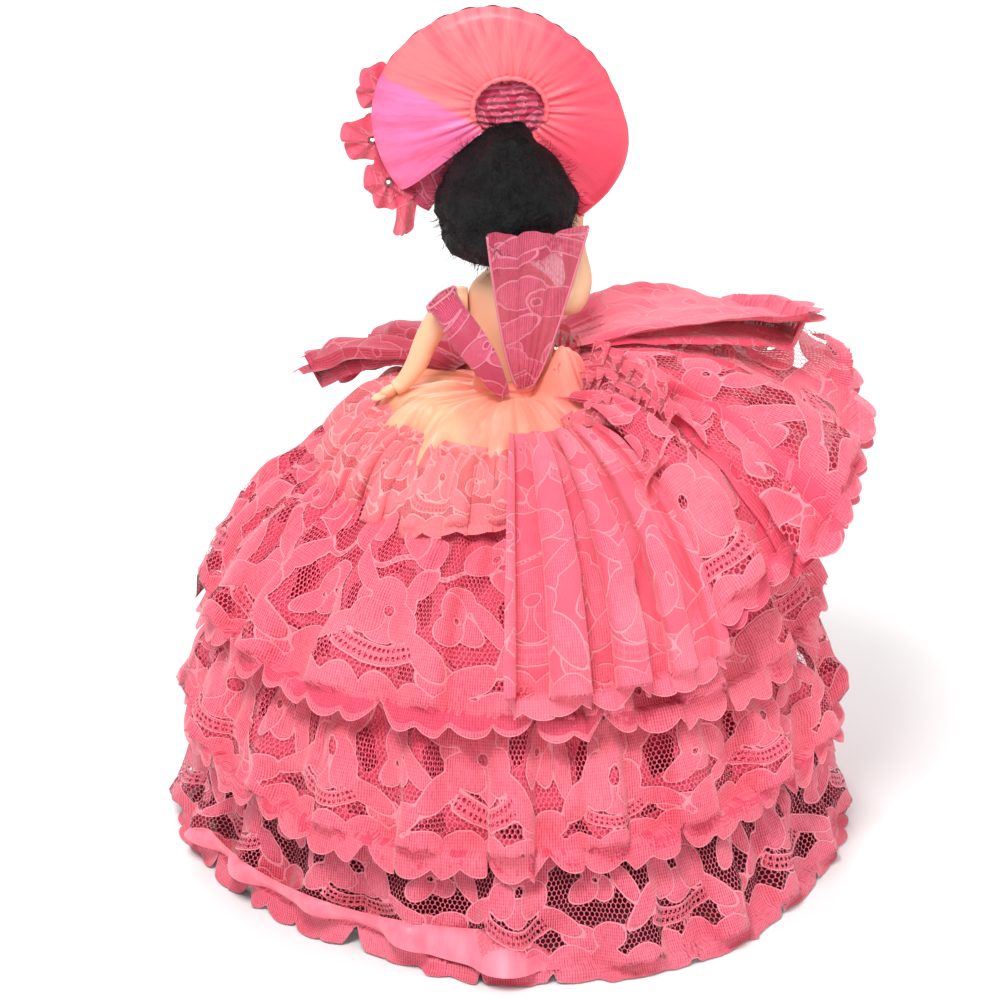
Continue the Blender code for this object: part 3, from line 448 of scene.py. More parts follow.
def read_path(path, share):
    """Radius and height at shares of the length; past the end the path runs straight on."""
    last = len(path) - 1
    station = np.clip(share, 0, 1) * last
    low = np.clip(station.astype(int), 0, last - 1)
    part = (station - low)[..., None]
    point = path[low] * (1 - part) + path[low + 1] * part
    beyond = np.maximum(share - 1, 0)[..., None] * last
    return point + beyond * (path[-1] - path[-2])


def path_normal(path, share):
    step = 0.01
    ahead = read_path(path, np.clip(share + step, 0, 1)) - read_path(path, np.clip(share - step, 0, 1))
    ahead /= np.maximum(np.linalg.norm(ahead, axis=-1, keepdims=True), 1e-9)
    return np.stack([-ahead[..., 1], ahead[..., 0]], axis=-1)


def wander(angle, seed, lowest, highest, round_it):
    """A smooth random curve of the angle, about -1 to 1, that closes when the cloth does."""
    dice = random.Random(seed)
    value = np.zeros_like(angle)
    waves = 5
    for k in range(waves):
        turns = dice.uniform(lowest, highest)
        turns = round(turns) if round_it else turns
        value += math.sqrt(2 / waves) * np.sin(turns * angle + dice.uniform(0, TAU))
    return value * 0.7


def add_waves(table, angle):
    return sum(share * np.sin(turns * angle + start) for turns, share, start in table) + 0 * angle


def ripples(u, w, size, seed):
    """Small creases over the cloth, about -1 to 1."""
    dice = random.Random(seed)
    value = np.zeros(np.broadcast(u, w).shape)
    waves = 7
    for k in range(waves):
        turn = dice.uniform(0, TAU)
        pitch = size * dice.uniform(0.7, 1.8)
        value += np.sin((u * math.cos(turn) + w * math.sin(turn)) * TAU / pitch + dice.uniform(0, TAU))
    return value / math.sqrt(waves)


def gathered(name, rows, start, end, folds, depth, curl=0.3, seed=1, spacing=1.1 * MM, fine=1.1 * MM,
             drop=0.0, crease=0.5 * MM, reach=None, lift=None, scallops=1.0, round_it=False, power=0.85,
             floor=None, scale=1.0, side_drop=0.0, waves=None, root=None, under=0.0, puff=None):
    """A gathered strip of cloth. It returns the object, and u and w for each vertex."""
    path, length = smooth_path(rows)
    middle_radius = float(np.mean(path[:, 0]))
    stretch = 1 + (2.2 * folds * depth / (abs(end - start) / TAU * TAU * max(path[:, 0]))) ** 1.2
    columns = int(abs(end - start) * max(path[:, 0]) * stretch / spacing)
    count = max(int(length / spacing), 6)
    angle = np.linspace(start, end, columns, endpoint=not round_it)
    share_along = (angle - start) / (end - start)
    slow = wander(angle, seed, 2, 6, round_it)
    phase = folds * angle + 1.1 * slow * (folds / 14 if round_it else 1)
    size = 1 + 0.38 * wander(angle, seed + 1, 3, 9, round_it)
    skew = wander(angle, seed + 2, 2, 7, round_it)
    hem_drop = drop * wander(angle, seed + 3, 1, 4, round_it)
    if waves is not None:
        sway, growth, dips = waves
        phase = folds * angle + add_waves(sway, angle)
        size = 1 + add_waves(growth, angle)
        hem_drop = 3 * MM * add_waves(dips, angle)

    def shape(t, share):
        flat = read_path(path, share)
        normal = path_normal(path, share)
        grow = np.clip(t, 0, 1) ** power
        wave = np.cos(phase)[:, None] + 0.22 * np.cos(2 * phase + skew)[:, None]
        out = depth * size[:, None] * grow * wave
        out = out + fine * (1 - 0.75 * t) * np.sin(3 * phase + 2 * slow)[:, None] * np.minimum(t * 8, 1)
        shift = curl * depth * size[:, None] * grow * (np.sin(2 * phase) + 0.35 * skew)[:, None]
        radius = flat[..., 0] + out * normal[..., 0]
        z = flat[..., 1] + out * normal[..., 1] + (hem_drop[:, None] - side_drop
                                                  * (2 * np.abs(share_along - 0.5)[:, None]) ** 3) * t ** 1.5
        if reach is not None:
            radius = radius + (reach(angle)[:, None]) * t
        if lift is not None:
            z = z + lift(angle)[:, None] * t ** 2
        if root is not None:
            radius = radius + root(angle)[:, None] * (1 - np.clip(t, 0, 1)) ** 5
        if puff is not None:
            z = z + puff(angle, t)
        radius = radius - under * normal[..., 0] * t
        z = z - under * normal[..., 1] * t
        return radius, z, shift

    ones = np.full((columns, 1), 0.85)
    radius, z, shift = shape(ones, ones)
    turn = angle[:, None] + shift / np.maximum(radius, 1e-6)
    line = np.stack([radius * np.cos(turn), radius * np.sin(turn), z], axis=-1)[:, 0]
    u = np.concatenate([[0], np.cumsum(np.linalg.norm(np.diff(line, axis=0), axis=1))])
    width = float(u[-1])
    if round_it:
        whole = max(round(width / (REPEAT_WIDTH * scale)), 1) * REPEAT_WIDTH * scale
        u = u * whole / width * columns / (columns + 1)
    t = np.linspace(0, 1, count + 1)[None, :] * np.ones((columns, 1))
    fall = length + scallops * scallop(u)[:, None] * (scale if scallops else 1)
    share = t * fall / length
    radius, z, shift = shape(t, share)
    w = length - share * length
    small = crease * ripples(u[:, None], w, 16 * MM, seed + 5) * np.minimum(t * 4, 1)
    radius = radius + small
    z = z + 0.5 * small
    if floor is not None:
        z = np.maximum(z, floor)
    turn = angle[:, None] + shift / np.maximum(radius, 1e-6)
    points = np.stack([radius * np.cos(turn), radius * np.sin(turn), z], axis=-1)
    item = grid_object(name, points, round_it)
    u_all = np.repeat(u[:, None], count + 1, axis=1)
    add_float(item, "hem_line", scallops * scallop(u_all) / MM / scale if scallops else np.full(u_all.shape, 99.0))
    return item, u_all, w, (width, length)


def settle(item, body, replaces=(), material=None):
    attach(item, body)
    if replaces:
        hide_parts(*replaces)
    if material:
        item.data.materials.append(material)
    return item


def lace_strip(name, rows, start, end, folds, depth, material, body="body", replaces=(), rests_on=(),
               held="gathered", shift=0.0, scale=1.0, swell=0.75, **more):
    item, u, w, flat = gathered(name, rows, start, end, folds, depth, scale=scale, **more)
    dress_lace(item, u + shift, w, scale, swell)
    settle(item, body, replaces, material)
    return item


def plain_strip(name, rows, start, end, folds, depth, material, slot, body="body", replaces=(), rests_on=(),
                held="gathered", **more):
    item, u, w, flat = gathered(name, rows, start, end, folds, depth, scallops=0.0, **more)
    add_vector(item, "cloth", u / MM, w / MM, np.zeros_like(u))
    settle(item, body, replaces, material)
    return item


# Skirts, repeated from the model's source so that the cloth lies where its solids do

FOUNDATION_ROWS = [(0.0142, 0.1495), (0.0360, 0.1415), (0.0540, 0.1300), (0.0720, 0.1110), (0.0830, 0.0870),
                   (0.0890, 0.0580), (0.0905, 0.0300), (0.0915, 0.0036)]
INNER_ROWS = [(0.0142, 0.1055), (0.0400, 0.0980), (0.0600, 0.0850), (0.0760, 0.0600), (0.0820, 0.0300),
              (0.0855, 0.0036)]
HEM_REACH = 0.1060
HEM_REACH_SHARES = [1.01, 0.965, 0.955, 1.06, 1.075, 1.015, 1.01, 1.0, 0.98, 0.98, 0.99, 1.0]
HEM_LIFT = 0.0045
HEM_LIFT_SHARES = [0.25, 0.9, 1.0, 0.1, 0, 0, 0, 0, 0, 0, 0, 0]


def around(shares, angle):
    """Reads a closed table of shares at azimuths, in a smooth curve through its rows."""
    shares = np.array(shares, float)
    station = (angle % TAU) / TAU * len(shares)
    low = np.floor(station).astype(int) % len(shares)
    ease = (1 - np.cos(math.pi * (station - np.floor(station)))) / 2
    return shares[low] * (1 - ease) + shares[(low + 1) % len(shares)] * ease


def hem_reach(angle):
    return HEM_REACH * (around(HEM_REACH_SHARES, angle) - 1)


def hem_lift(angle):
    return HEM_LIFT * around(HEM_LIFT_SHARES, angle)


# How the tiers' folds crowd together, grow and dip round the doll: waves, shares, starts
TIER_WAVES = {
    "upper": ([(2, 0.90, 0.3), (3, 0.70, 2.0), (5, 0.40, 4.4)], [(3, 0.16, 1.1), (4, 0.12, 5.0)],
              [(1, 0.5, 0.8), (3, 0.5, 4.1)]),
    "middle": ([(2, 0.80, 3.1), (4, 0.55, 0.7), (5, 0.40, 2.2)], [(2, 0.12, 4.0), (5, 0.16, 0.9)],
               [(2, 0.5, 1.9), (3, 0.5, 0.6)]),
    "lower": ([(3, 0.75, 5.2), (4, 0.50, 1.4), (7, 0.30, 3.0)], [(3, 0.14, 2.6), (4, 0.14, 0.2)], []),
}
TIERS = {
    "upper": ([(0.0545, 0.1310), (0.0735, 0.1185), (0.0880, 0.1020), (0.0975, 0.0850)], 4.8 * MM, 31, 0.008, 0.40),
    "middle": ([(0.0850, 0.0930), (0.0905, 0.0800), (0.0980, 0.0640), (0.1042, 0.0438)], 5.1 * MM, 21, 0.021, 0.40),
    "lower": ([(0.0902, 0.0540), (0.0960, 0.0400), (0.1010, 0.0240), (0.1040, 0.0100), (0.1055, 0.0045)],
              5.0 * MM, 11, 0.0, 0.35),
}


# Each: azimuth, half width in radians, share of the way out, half depth, rise
SATIN_PUFFS = [(35, 0.42, 0.55, 0.30, 4.2 * MM), (138, 0.17, 0.17, 0.15, 10 * MM), (152, 0.24, 0.20, 0.16, 16 * MM)]


def satin_puff(angle, t):
    """The satin puffs up beside the left arm's hand, and stands up in a fold right of the collar's foot."""
    height = np.zeros_like(t)
    for azimuth, wide, share, deep, rise in SATIN_PUFFS:
        turn = (angle - math.radians(azimuth) + math.pi) % TAU - math.pi
        height += rise * np.exp(-(turn / wide) ** 2)[:, None] * np.exp(-((t - share) / deep) ** 2)
    return height


def band_ends(angle, t):
    """The turned band narrows to its hem at both ends."""
    to_end = 0.5 - np.abs((angle - math.radians(12)) / math.radians(86) - 0.5)
    narrow = np.clip(1 - to_end / 0.13, 0, 1) ** 1.5
    return -10.5 * MM * narrow[:, None] * (1 - t)


def waist_reach(angle):
    """From the satin's round inner edge in to the sash."""
    return 0.0121 * 0.0093 / np.hypot(0.0093 * np.cos(angle), 0.0121 * np.sin(angle)) - 0.0145


def add_skirts(lace, lace_shaded_lower, lace_under, lace_light, satin, peach, band, cotton):
    plain_strip("foundation_cloth", FOUNDATION_ROWS, 0, TAU, 40, 0.5 * MM, satin, "pink_satin", spacing=2.5 * MM,
                fine=0.4 * MM, curl=0.0, crease=0.3 * MM, round_it=True, replaces=["foundation_skirt"],
                rests_on=["hem_binding_cotton"], floor=3.2 * MM)
    plain_strip("inner_cloth", INNER_ROWS, 0, TAU, 36, 1.0 * MM, cotton, "maroon_cotton", spacing=2.5 * MM,
                fine=0.4 * MM, curl=0.0, crease=0.4 * MM, round_it=True, replaces=["inner_skirt"], seed=3,
                rests_on=["hem_binding_cotton"], floor=3.2 * MM)
    for tier, (rows, depth, seed, shift, curl) in TIERS.items():
        lowest = tier == "lower"
        shape = {"reach": hem_reach, "lift": hem_lift, "floor": 0.8 * MM} if lowest else {}
        lace_strip(f"{tier}_tier_lace", rows, 0, TAU, 20, depth, lace_shaded_lower if lowest else lace, round_it=True,
                   seed=seed, shift=shift, curl=curl, waves=TIER_WAVES[tier], crease=0.8 * MM, power=1.0,
                   replaces=[f"lace_tier_{tier}"], rests_on=["foundation_cloth"],
                   scallops=1.6 if lowest else 1.3, swell=0.1 if lowest else 0.6, **shape)
        if not lowest:
            # The underlay is a second lace layer, coloured darker as painted shade between the layers.
            lace_strip(f"{tier}_tier_underlay", rows, 0, TAU, 20, depth, lace_under, round_it=True, seed=seed,
                       shift=shift + 0.031, curl=curl, waves=TIER_WAVES[tier], crease=0.8 * MM, under=1.6 * MM,
                       spacing=1.6 * MM, power=1.0, rests_on=["foundation_cloth"])
    plain_strip("peach_overskirt", [(0.0145, 0.1528), (0.0240, 0.1526), (0.0340, 0.1500), (0.0425, 0.1443),
                                    (0.0468, 0.1405)],
                0, TAU, 13, 1.9 * MM, peach, "peach_satin", spacing=0.8 * MM, fine=0.7 * MM, round_it=True,
                seed=41, power=0.5, crease=0.7 * MM, replaces=["satin_overskirt"], rests_on=["foundation_cloth"],
                root=waist_reach, puff=satin_puff)
    lace_strip("overskirt_edge_lace", [(0.0395, 0.1490), (0.0480, 0.1452), (0.0560, 0.1370), (0.0610, 0.1285)],
               0, TAU, 24, 2.1 * MM, lace_light, round_it=True, seed=51, drop=4.5 * MM, shift=0.03, curl=0.8,
               spacing=0.7 * MM, scale=0.62, crease=0.7 * MM, replaces=["overskirt_lace_edging"],
               rests_on=["peach_overskirt"])
    # A near-black sheet inside the lower tier; it paints the shade inside the skirt that shows through the tier's net.
    plain_strip("lower_tier_shade_sheet", [(0.0890, 0.0300), (0.0940, 0.0160), (0.1000, 0.0045)], 0, TAU, 20, 3.5 * MM,
                cotton, "maroon_cotton", spacing=1.6 * MM, curl=0.2, round_it=True, seed=12, reach=hem_reach,
                waves=TIER_WAVES["lower"], floor=1.2 * MM, rests_on=["foundation_cloth"])
    plain_strip("turned_hem_band", [(0.1046, 0.0150), (0.1068, 0.0098), (0.1080, 0.0045)], math.radians(12),
                math.radians(98), 20, 3.6 * MM, band, "peach_satin", seed=11, spacing=1.0 * MM, reach=hem_reach,
                lift=hem_lift, curl=0.25, power=0.3, floor=0.8 * MM, waves=TIER_WAVES["lower"], crease=0.3 * MM,
                fine=0.3 * MM, puff=band_ends, rests_on=["lower_tier_lace"])


# The hips' flounces, the pleats behind and the curly gathered headings. Angles in degrees.

PLEAT_ROWS = [(0.0385, 0.1535), (0.0560, 0.1490), (0.0800, 0.1330), (0.0940, 0.1130), (0.1005, 0.0970)]
HEADING_ROWS = [(0.0186, 0.1530), (0.0196, 0.1590), (0.0206, 0.1645)]
# Each: its two ends' azimuths, rows from root to hem, folds in a whole turn, their depth, seed, drop of the
# sides, rise from one side to the other, how far the underlay hangs below, carrier
FLOUNCES = {
    "hip_flounce_upper": (178, 236, [(0.0203, 0.1665), (0.0420, 0.1705), (0.0700, 0.1695), (0.0920, 0.1640)],
                          8, 0.0034, 61, 0.003, -0.016, 0.012, "hip_heading_lace"),
    "hip_flounce_middle": (147, 202, [(0.0200, 0.1630), (0.0450, 0.1660), (0.0780, 0.1600), (0.1085, 0.1440)],
                           11, 0.0050, 66, 0.010, 0.014, 0.007, "hip_heading_lace"),
    "hip_flounce_lower": (128, 186, [(0.0200, 0.1560), (0.0480, 0.1600), (0.0780, 0.1450), (0.0985, 0.1225)],
                          16, 0.0060, 74, 0.010, 0.004, 0.003, "hip_heading_lace"),
    "front_flounce": (292, 337, [(0.0202, 0.1545), (0.0400, 0.1562), (0.0580, 0.1530), (0.0725, 0.1465)],
                      20, 0.0034, 83, 0.002, 0.0, 0.011, "peach_overskirt"),
}


# The gathered edges' curls, in millimetres: their courses, height and seed
FRILLS = {
    "hip_frill_upper": ([(-23.0, 8.0, 162.5), (-28.5, 15.0, 163.0), (-37.5, 24.0, 163.5), (-43.5, 33.0, 161.0),
                         (-48.0, 40.0, 155.0)], 8.5, 3),
    "hip_frill_lower": ([(-16.5, 35.5, 151.5), (-22.0, 33.0, 153.0), (-29.0, 32.0, 153.5), (-36.0, 38.0, 151.0),
                         (-40.0, 47.0, 147.0), (-40.5, 58.0, 142.0)], 8.0, 8),
    "hip_frill_side": ([(-21.0, 14.0, 158.0), (-27.0, 21.0, 158.5), (-35.0, 27.0, 158.0), (-41.0, 36.0, 154.0)],
                       7.5, 5),
}


def frill(name, rows, tall, seed, material):
    """A short ruffle that stands in curls along a course of places."""
    columns, count = 420, 18
    course = curve_through(rows, columns) * MM
    along = np.gradient(course, axis=0)
    along /= np.linalg.norm(along, axis=1)[:, None]
    aside = np.cross(along, [0, 0, 1])
    aside /= np.linalg.norm(aside, axis=1)[:, None]
    s = np.linspace(0, 1, columns)[:, None]
    t = np.linspace(0, 1, count)[None, :]
    sway = 2.5 * MM * (1 + 0.4 * np.sin(13 * s + seed)) * t ** 0.7
    phase = 40 * s + 1.8 * np.sin(9 * s + seed)
    rise = tall * MM * t * (1 + 0.28 * np.sin(11 * s + 2 * seed) + 0.10 * np.sin(phase))
    points = (course[:, None] + along[:, None] * (0.8 * sway * np.sin(2 * phase))[..., None]
              + aside[:, None] * (sway * np.sin(phase) - 0.35 * rise)[..., None])
    points[..., 2] += rise * (1 - 0.12 * t)
    u = np.concatenate([[0], np.cumsum(np.linalg.norm(np.diff(points[:, -1], axis=0), axis=1))])
    u = u[:, None] * np.ones((1, count))
    w = tall * MM * (1 - t) * np.ones((columns, 1))
    item = grid_object(name, points)
    add_float(item, "hem_line", np.zeros_like(u))
    dress_lace(item, u, w, 0.5)
    settle(item, "body", (), material)


def add_flounces(lace, lace_edge, lace_lined, lace_smooth, lace_dark, lace_rolled):
    lace_strip("back_pleat_lace", PLEAT_ROWS, math.radians(88), math.radians(130), 33, 4.4 * MM, lace_rolled,
               seed=91, spacing=0.9 * MM, curl=0.55, power=0.3, drop=2.5 * MM, shift=0.05, fine=0.6 * MM,
               replaces=["back_pleats"], rests_on=["overskirt_edge_lace"])
    lace_strip("hip_heading_lace", HEADING_ROWS, math.radians(132), math.radians(240), 30, 1.5 * MM, lace_edge,
               seed=93, spacing=0.6 * MM, curl=0.5, fine=0.3 * MM, crease=0.2 * MM, scale=0.55,
               replaces=["hip_heading"], rests_on=["peach_overskirt"])
    for name, (rows, tall, seed) in FRILLS.items():
        frill(name, rows, tall, seed, lace_edge)
    fabrics = {"hip_flounce_upper": (lace_smooth, lace_lined), "front_flounce": (lace_dark, lace_dark)}
    for name, (start, end, rows, folds, depth, seed, side_drop, rise, under, neighbour) in FLOUNCES.items():
        middle = math.radians((start + end) / 2)
        half = math.radians((end - start) / 2)

        def tilt(angle, middle=middle, half=half, rise=rise):
            return rise * (angle - middle) / half

        outer, inner = fabrics.get(name, (lace, lace_lined))
        lace_strip(f"{name}_lace", rows, math.radians(start), math.radians(end), folds, depth, outer, seed=seed,
                   spacing=0.9 * MM, curl=0.5, drop=3.5 * MM, side_drop=side_drop, shift=0.013 * (seed % 5),
                   crease=0.9 * MM, power=0.7, lift=tilt, replaces=[name], rests_on=[neighbour])
        lace_strip(f"{name}_underlay", rows, math.radians(start + 2), math.radians(end - 2), folds + 5, depth * 0.7,
                   inner, seed=seed + 2, spacing=1.3 * MM, curl=0.4, drop=4 * MM, side_drop=side_drop,
                   shift=0.019 * (seed % 7), crease=0.9 * MM, power=0.6, under=under, lift=tilt,
                   rests_on=[neighbour])


# Hat. Angles run from the top of the brim, positive towards +X.

HOLE = Vector((0.0010, -0.0020, 0.2454))
HOLE_HALF_WIDTH = 0.0106
HOLE_HALF_HEIGHT = 0.0094
HAIR_MIDDLE = Vector((0.0020, 0.0010, 0.2175))
HAIR_RADIUS = 0.0226
BRIM_START = math.radians(-150)
BRIM_END = math.radians(131)
BRIM_WIDEST = 0.0455
BRIM_ANGLES = [-1.0, -0.775, -0.575, -0.273, 0.0, 0.333, 0.6, 0.873]
BRIM_REACHES = [0.985, 0.91, 0.725, 0.637, 0.69, 0.80, 0.945, 1.0]
BRIM_BOWL = 0.0050
BRIM_DEPTH = 0.0042


def brim_limits(angle):
    """The brim's inner and outer reach from the middle of the hole."""
    stations = np.array(BRIM_ANGLES) * math.radians(150)
    fine = np.linspace(stations[0], stations[-1], 400)
    table = np.interp(fine, stations, np.array(BRIM_REACHES) * BRIM_WIDEST)
    soft = np.convolve(np.pad(table, 20, mode="edge"), np.ones(41) / 41, mode="valid")
    outer = np.interp(angle, fine, soft)
    half_width = HOLE_HALF_WIDTH + 0.0008
    half_height = HOLE_HALF_HEIGHT + 0.0008
    inner = half_width * half_height / np.hypot(half_height * np.sin(angle), half_width * np.cos(angle))
    to_hair = HAIR_MIDDLE - HOLE
    along = np.sin(angle) * to_hair.x + np.cos(angle) * to_hair.z
    aside = to_hair.x ** 2 + to_hair.z ** 2 - along ** 2
    clear = HAIR_RADIUS - 0.0044
    behind_hair = (along > 0) & (aside < clear ** 2)
    inner = np.where(behind_hair, np.maximum(inner, along + np.sqrt(np.maximum(clear ** 2 - aside, 0))), inner)
    return np.minimum(inner, outer - 0.0032), outer


def brim_sheet(name, columns, rows, offset, end=BRIM_END):
    """A grid over the brim; offset(angle, share, out) gives its forward shift behind or before y 0."""
    angle = np.linspace(BRIM_START, end, columns)[:, None] * np.ones((1, rows))
    share = np.linspace(0, 1, rows)[None, :] * np.ones((columns, 1))
    inner, outer = brim_limits(angle)
    out = inner + (outer - inner) * share
    bowl = BRIM_BOWL * ((out - HOLE_HALF_WIDTH) / (BRIM_WIDEST - HOLE_HALF_WIDTH)) ** 2
    y = HOLE.y - bowl + offset(angle, share, out)
    points = np.stack([HOLE.x + out * np.sin(angle), y, HOLE.z + out * np.cos(angle)], axis=-1)
    item = grid_object(name, points)
    return item, angle * 0.030, out, points


def radial_folds(angle, seed, count):
    slow = wander(angle, seed, 2, 7, False)
    return np.sin(count * angle + 2.4 * slow) * (1 + 0.5 * wander(angle, seed + 1, 4, 12, False))


def add_hat(satin, lace, ruche_lace, wire):
    def back_shape(angle, share, out):
        folds = 0.30 * MM * radial_folds(angle, 7, 34) * np.clip(1 - share * 1.15, 0, 1) ** 1.8
        swells = 1.0 * MM * wander(angle, 12, 3, 8, False) * np.sin(math.pi * share) ** 0.7
        swells = swells + 0.35 * MM * np.maximum(wander(angle, 29, 9, 22, False), 0) ** 2 * (1 - share) ** 0.6
        puff = 1.3 * MM * np.sin(math.pi * np.clip(share, 0, 1)) ** 0.6
        rounding = -(BRIM_DEPTH * 0.55) * np.clip((share - 0.86) / 0.14, 0, 1) ** 2
        return folds + swells + puff + rounding

    item, u, out, points = brim_sheet("hat_satin", 420, 60, back_shape)
    add_vector(item, "cloth", u / MM, out / MM, np.zeros_like(u))
    settle(item, "upper_head", ["hat_brim_back"], satin)

    def front_shape(angle, share, out):
        ruffle = 0.9 * MM * share ** 1.5 * np.sin(26 * angle + wander(angle, 19, 2, 6, False))
        rounding = (BRIM_DEPTH * 0.30) * np.clip((share - 0.86) / 0.14, 0, 1) ** 2
        return -BRIM_DEPTH + ruffle + rounding + 0.35 * MM * radial_folds(angle, 23, 40) * (1 - share)

    item, u, out, points = brim_sheet("hat_front_lace", 380, 46, front_shape, BRIM_END + math.radians(15))
    add_float(item, "hem_line", np.full(u.shape, 99.0))
    dress_lace(item, u * 1.3, out.max() - out, 0.62)
    settle(item, "upper_head", ["hat_brim_front"], ruche_lace)

    angles = np.linspace(BRIM_START + 0.035, BRIM_END - 0.035, 90)
    inner, outer = brim_limits(angles)
    out = outer - 1.6 * MM
    bowl = BRIM_BOWL * ((out - HOLE_HALF_WIDTH) / (BRIM_WIDEST - HOLE_HALF_WIDTH)) ** 2
    course = [(HOLE + Vector((o * math.sin(a), -b - 0.0021, o * math.cos(a))), 0.0007)
              for a, o, b in zip(angles, out, bowl)]
    settle(tube("hat_wire_rim", course, 8), "upper_head", ["hat_rim_wire"], wire)

    course = []
    for a in np.linspace(-math.radians(112), math.radians(112), 90):
        bump = 0.72 + 0.10 * math.sin(19 * a) + 0.07 * math.sin(43 * a + 1)
        place = Vector(((HOLE_HALF_WIDTH + 0.9 * MM) * math.sin(a), 0.5 * MM, (HOLE_HALF_HEIGHT + 0.9 * MM) * math.cos(a)))
        course.append((HOLE + place, 0.00115 * bump))
    settle(tube("hat_roll", course, 12), "upper_head", ["hat_hole_roll"], satin)
    add_ruche(ruche_lace)
    add_rosettes(lace)


def add_ruche(lace):
    columns, rows = 90, 120
    s = np.linspace(-1, 1, columns)[:, None] * np.ones((1, rows))
    t = np.linspace(0, 1, rows)[None, :] * np.ones((columns, 1))
    z = -0.0088 + 0.0186 * t
    half = (HOLE_HALF_WIDTH + 1.6 * MM) * np.sqrt(np.clip(1 - (z / (HOLE_HALF_HEIGHT + 3.0 * MM)) ** 2, 0.05, 1))
    sag = 1.4 * MM * (1 - s ** 2)
    phase = TAU * (8.3 * t + 0.45 * s * s + 0.22 * np.sin(2.3 * s + 1) + 0.12 * np.sin(6 * s * (1 - t)))
    depth = 0.75 * MM * (0.6 + 0.4 * np.cos(2 * s))
    y = depth * np.sin(phase) - 1.6 * MM + 0.3 * MM * np.sin(20 * s + 5 * t)
    points = np.stack([HOLE.x + half * s, HOLE.y + y, HOLE.z + z - sag * (1 - t) * 0.4], axis=-1)
    item = grid_object("hat_ruche_lace", points)
    add_float(item, "hem_line", np.full(s.shape, 99.0))
    dress_lace(item, half * s * 2.0, (z + 0.01) * 2.2, 0.5)
    settle(item, "upper_head", ["hat_ruche"], lace)


# Each: place beside and over the hole, radius, depth
ROSETTES = {
    "hat_rosette_upper": (0.0392, 0.0028, 0.0086, -0.0119),
    "hat_rosette_middle": (0.0425, -0.0140, 0.0092, -0.0125),
    "hat_rosette_lower": (0.0378, -0.0280, 0.0088, -0.0122),
}


def add_rosettes(lace):
    for number, (name, (beside, over, radius, y)) in enumerate(ROSETTES.items()):
        turns = 2.6
        columns, rows = 420, 16
        angle = np.linspace(0, TAU * turns, columns)[:, None] * np.ones((1, rows))
        t = np.linspace(0, 1, rows)[None, :] * np.ones((columns, 1))
        ring = angle / (TAU * turns)
        inner = radius * (0.01 + 0.22 * ring)
        outer = radius * (0.52 + 0.56 * ring)
        lobe = 1 + 0.20 * (np.abs(np.sin(2.2 * angle + number)) ** 0.6 - 0.5) * t
        out = (inner + (outer - inner) * t) * lobe
        lift = -(3.6 * MM * (1 - ring) + 0.6 * MM) * t ** 0.8 + 1.5 * MM * t * np.sin(7 * angle + number) * (0.5 + ring)
        squash = 1.0 + 0.15 * math.sin(number * 2.1)
        points = np.stack([HOLE.x + beside + out * np.cos(angle) * squash, y + lift + 2.4 * MM * ring,
                           HOLE.z + over + out * np.sin(angle) / squash], axis=-1)
        item = grid_object(f"{name}_lace", points)
        u = angle * radius * 0.75
        w = (1 - t) * radius * 0.6
        add_float(item, "hem_line", np.full(u.shape, 0.4))
        dress_lace(item, u, w, 0.55)
        settle(item, "upper_head", [name], lace)
    columns, rows = 14, 60
    s = np.linspace(-0.5, 0.5, columns)[:, None] * np.ones((1, rows))
    t = np.linspace(0, 1, rows)[None, :] * np.ones((columns, 1))
    twist = 0.5 * t
    wide = 8.0 * MM * (1 - 0.22 * np.sin(math.pi * t)) * np.sqrt(1 - (np.clip(t - 0.84, 0, 1) / 0.17) ** 2)
    x = HOLE.x + 0.0322 + wide * s * np.cos(twist) + 1.6 * MM * t ** 2
    y = -0.0115 + wide * s * np.sin(twist) + 1.0 * MM * np.sin(5 * t) + 0.9 * MM * np.cos(9 * s)
    points = np.stack([x, y, HOLE.z - 0.0310 - 0.0155 * t], axis=-1)
    item = grid_object("hat_ribbon_lace", points)
    add_float(item, "hem_line", np.full(s.shape, 99.0))
    dress_lace(item, s * 6 * MM + 0.02, t * 0.0155 + 0.004, 0.5)
    settle(item, "upper_head", ["hat_ribbon_end"], lace)


def tube(name, course, sides, squash=1.0, capped=True):
    """A round tube through (place, radius) stations."""
    places = [Vector(place) for place, _ in course]
    points = []
    aside = None
    for i, (place, radius) in enumerate(course):
        along = (places[min(i + 1, len(places) - 1)] - places[max(i - 1, 0)]).normalized()
        if aside is None:
            aside = along.orthogonal().normalized()
        aside = (aside - along * aside.dot(along)).normalized()
        other = along.cross(aside)
        for k in range(sides):
            turn = TAU * k / sides
            points.append(Vector(place) + (aside * math.cos(turn) + other * math.sin(turn) * squash) * radius)
    faces = []
    for i in range(len(course) - 1):
        for k in range(sides):
            after = (k + 1) % sides
            faces.append((i * sides + k, i * sides + after, (i + 1) * sides + after, (i + 1) * sides + k))
    if capped:
        faces.append(tuple(reversed(range(sides))))
        faces.append(tuple((len(course) - 1) * sides + k for k in range(sides)))
    return fresh_object(name, points, faces)


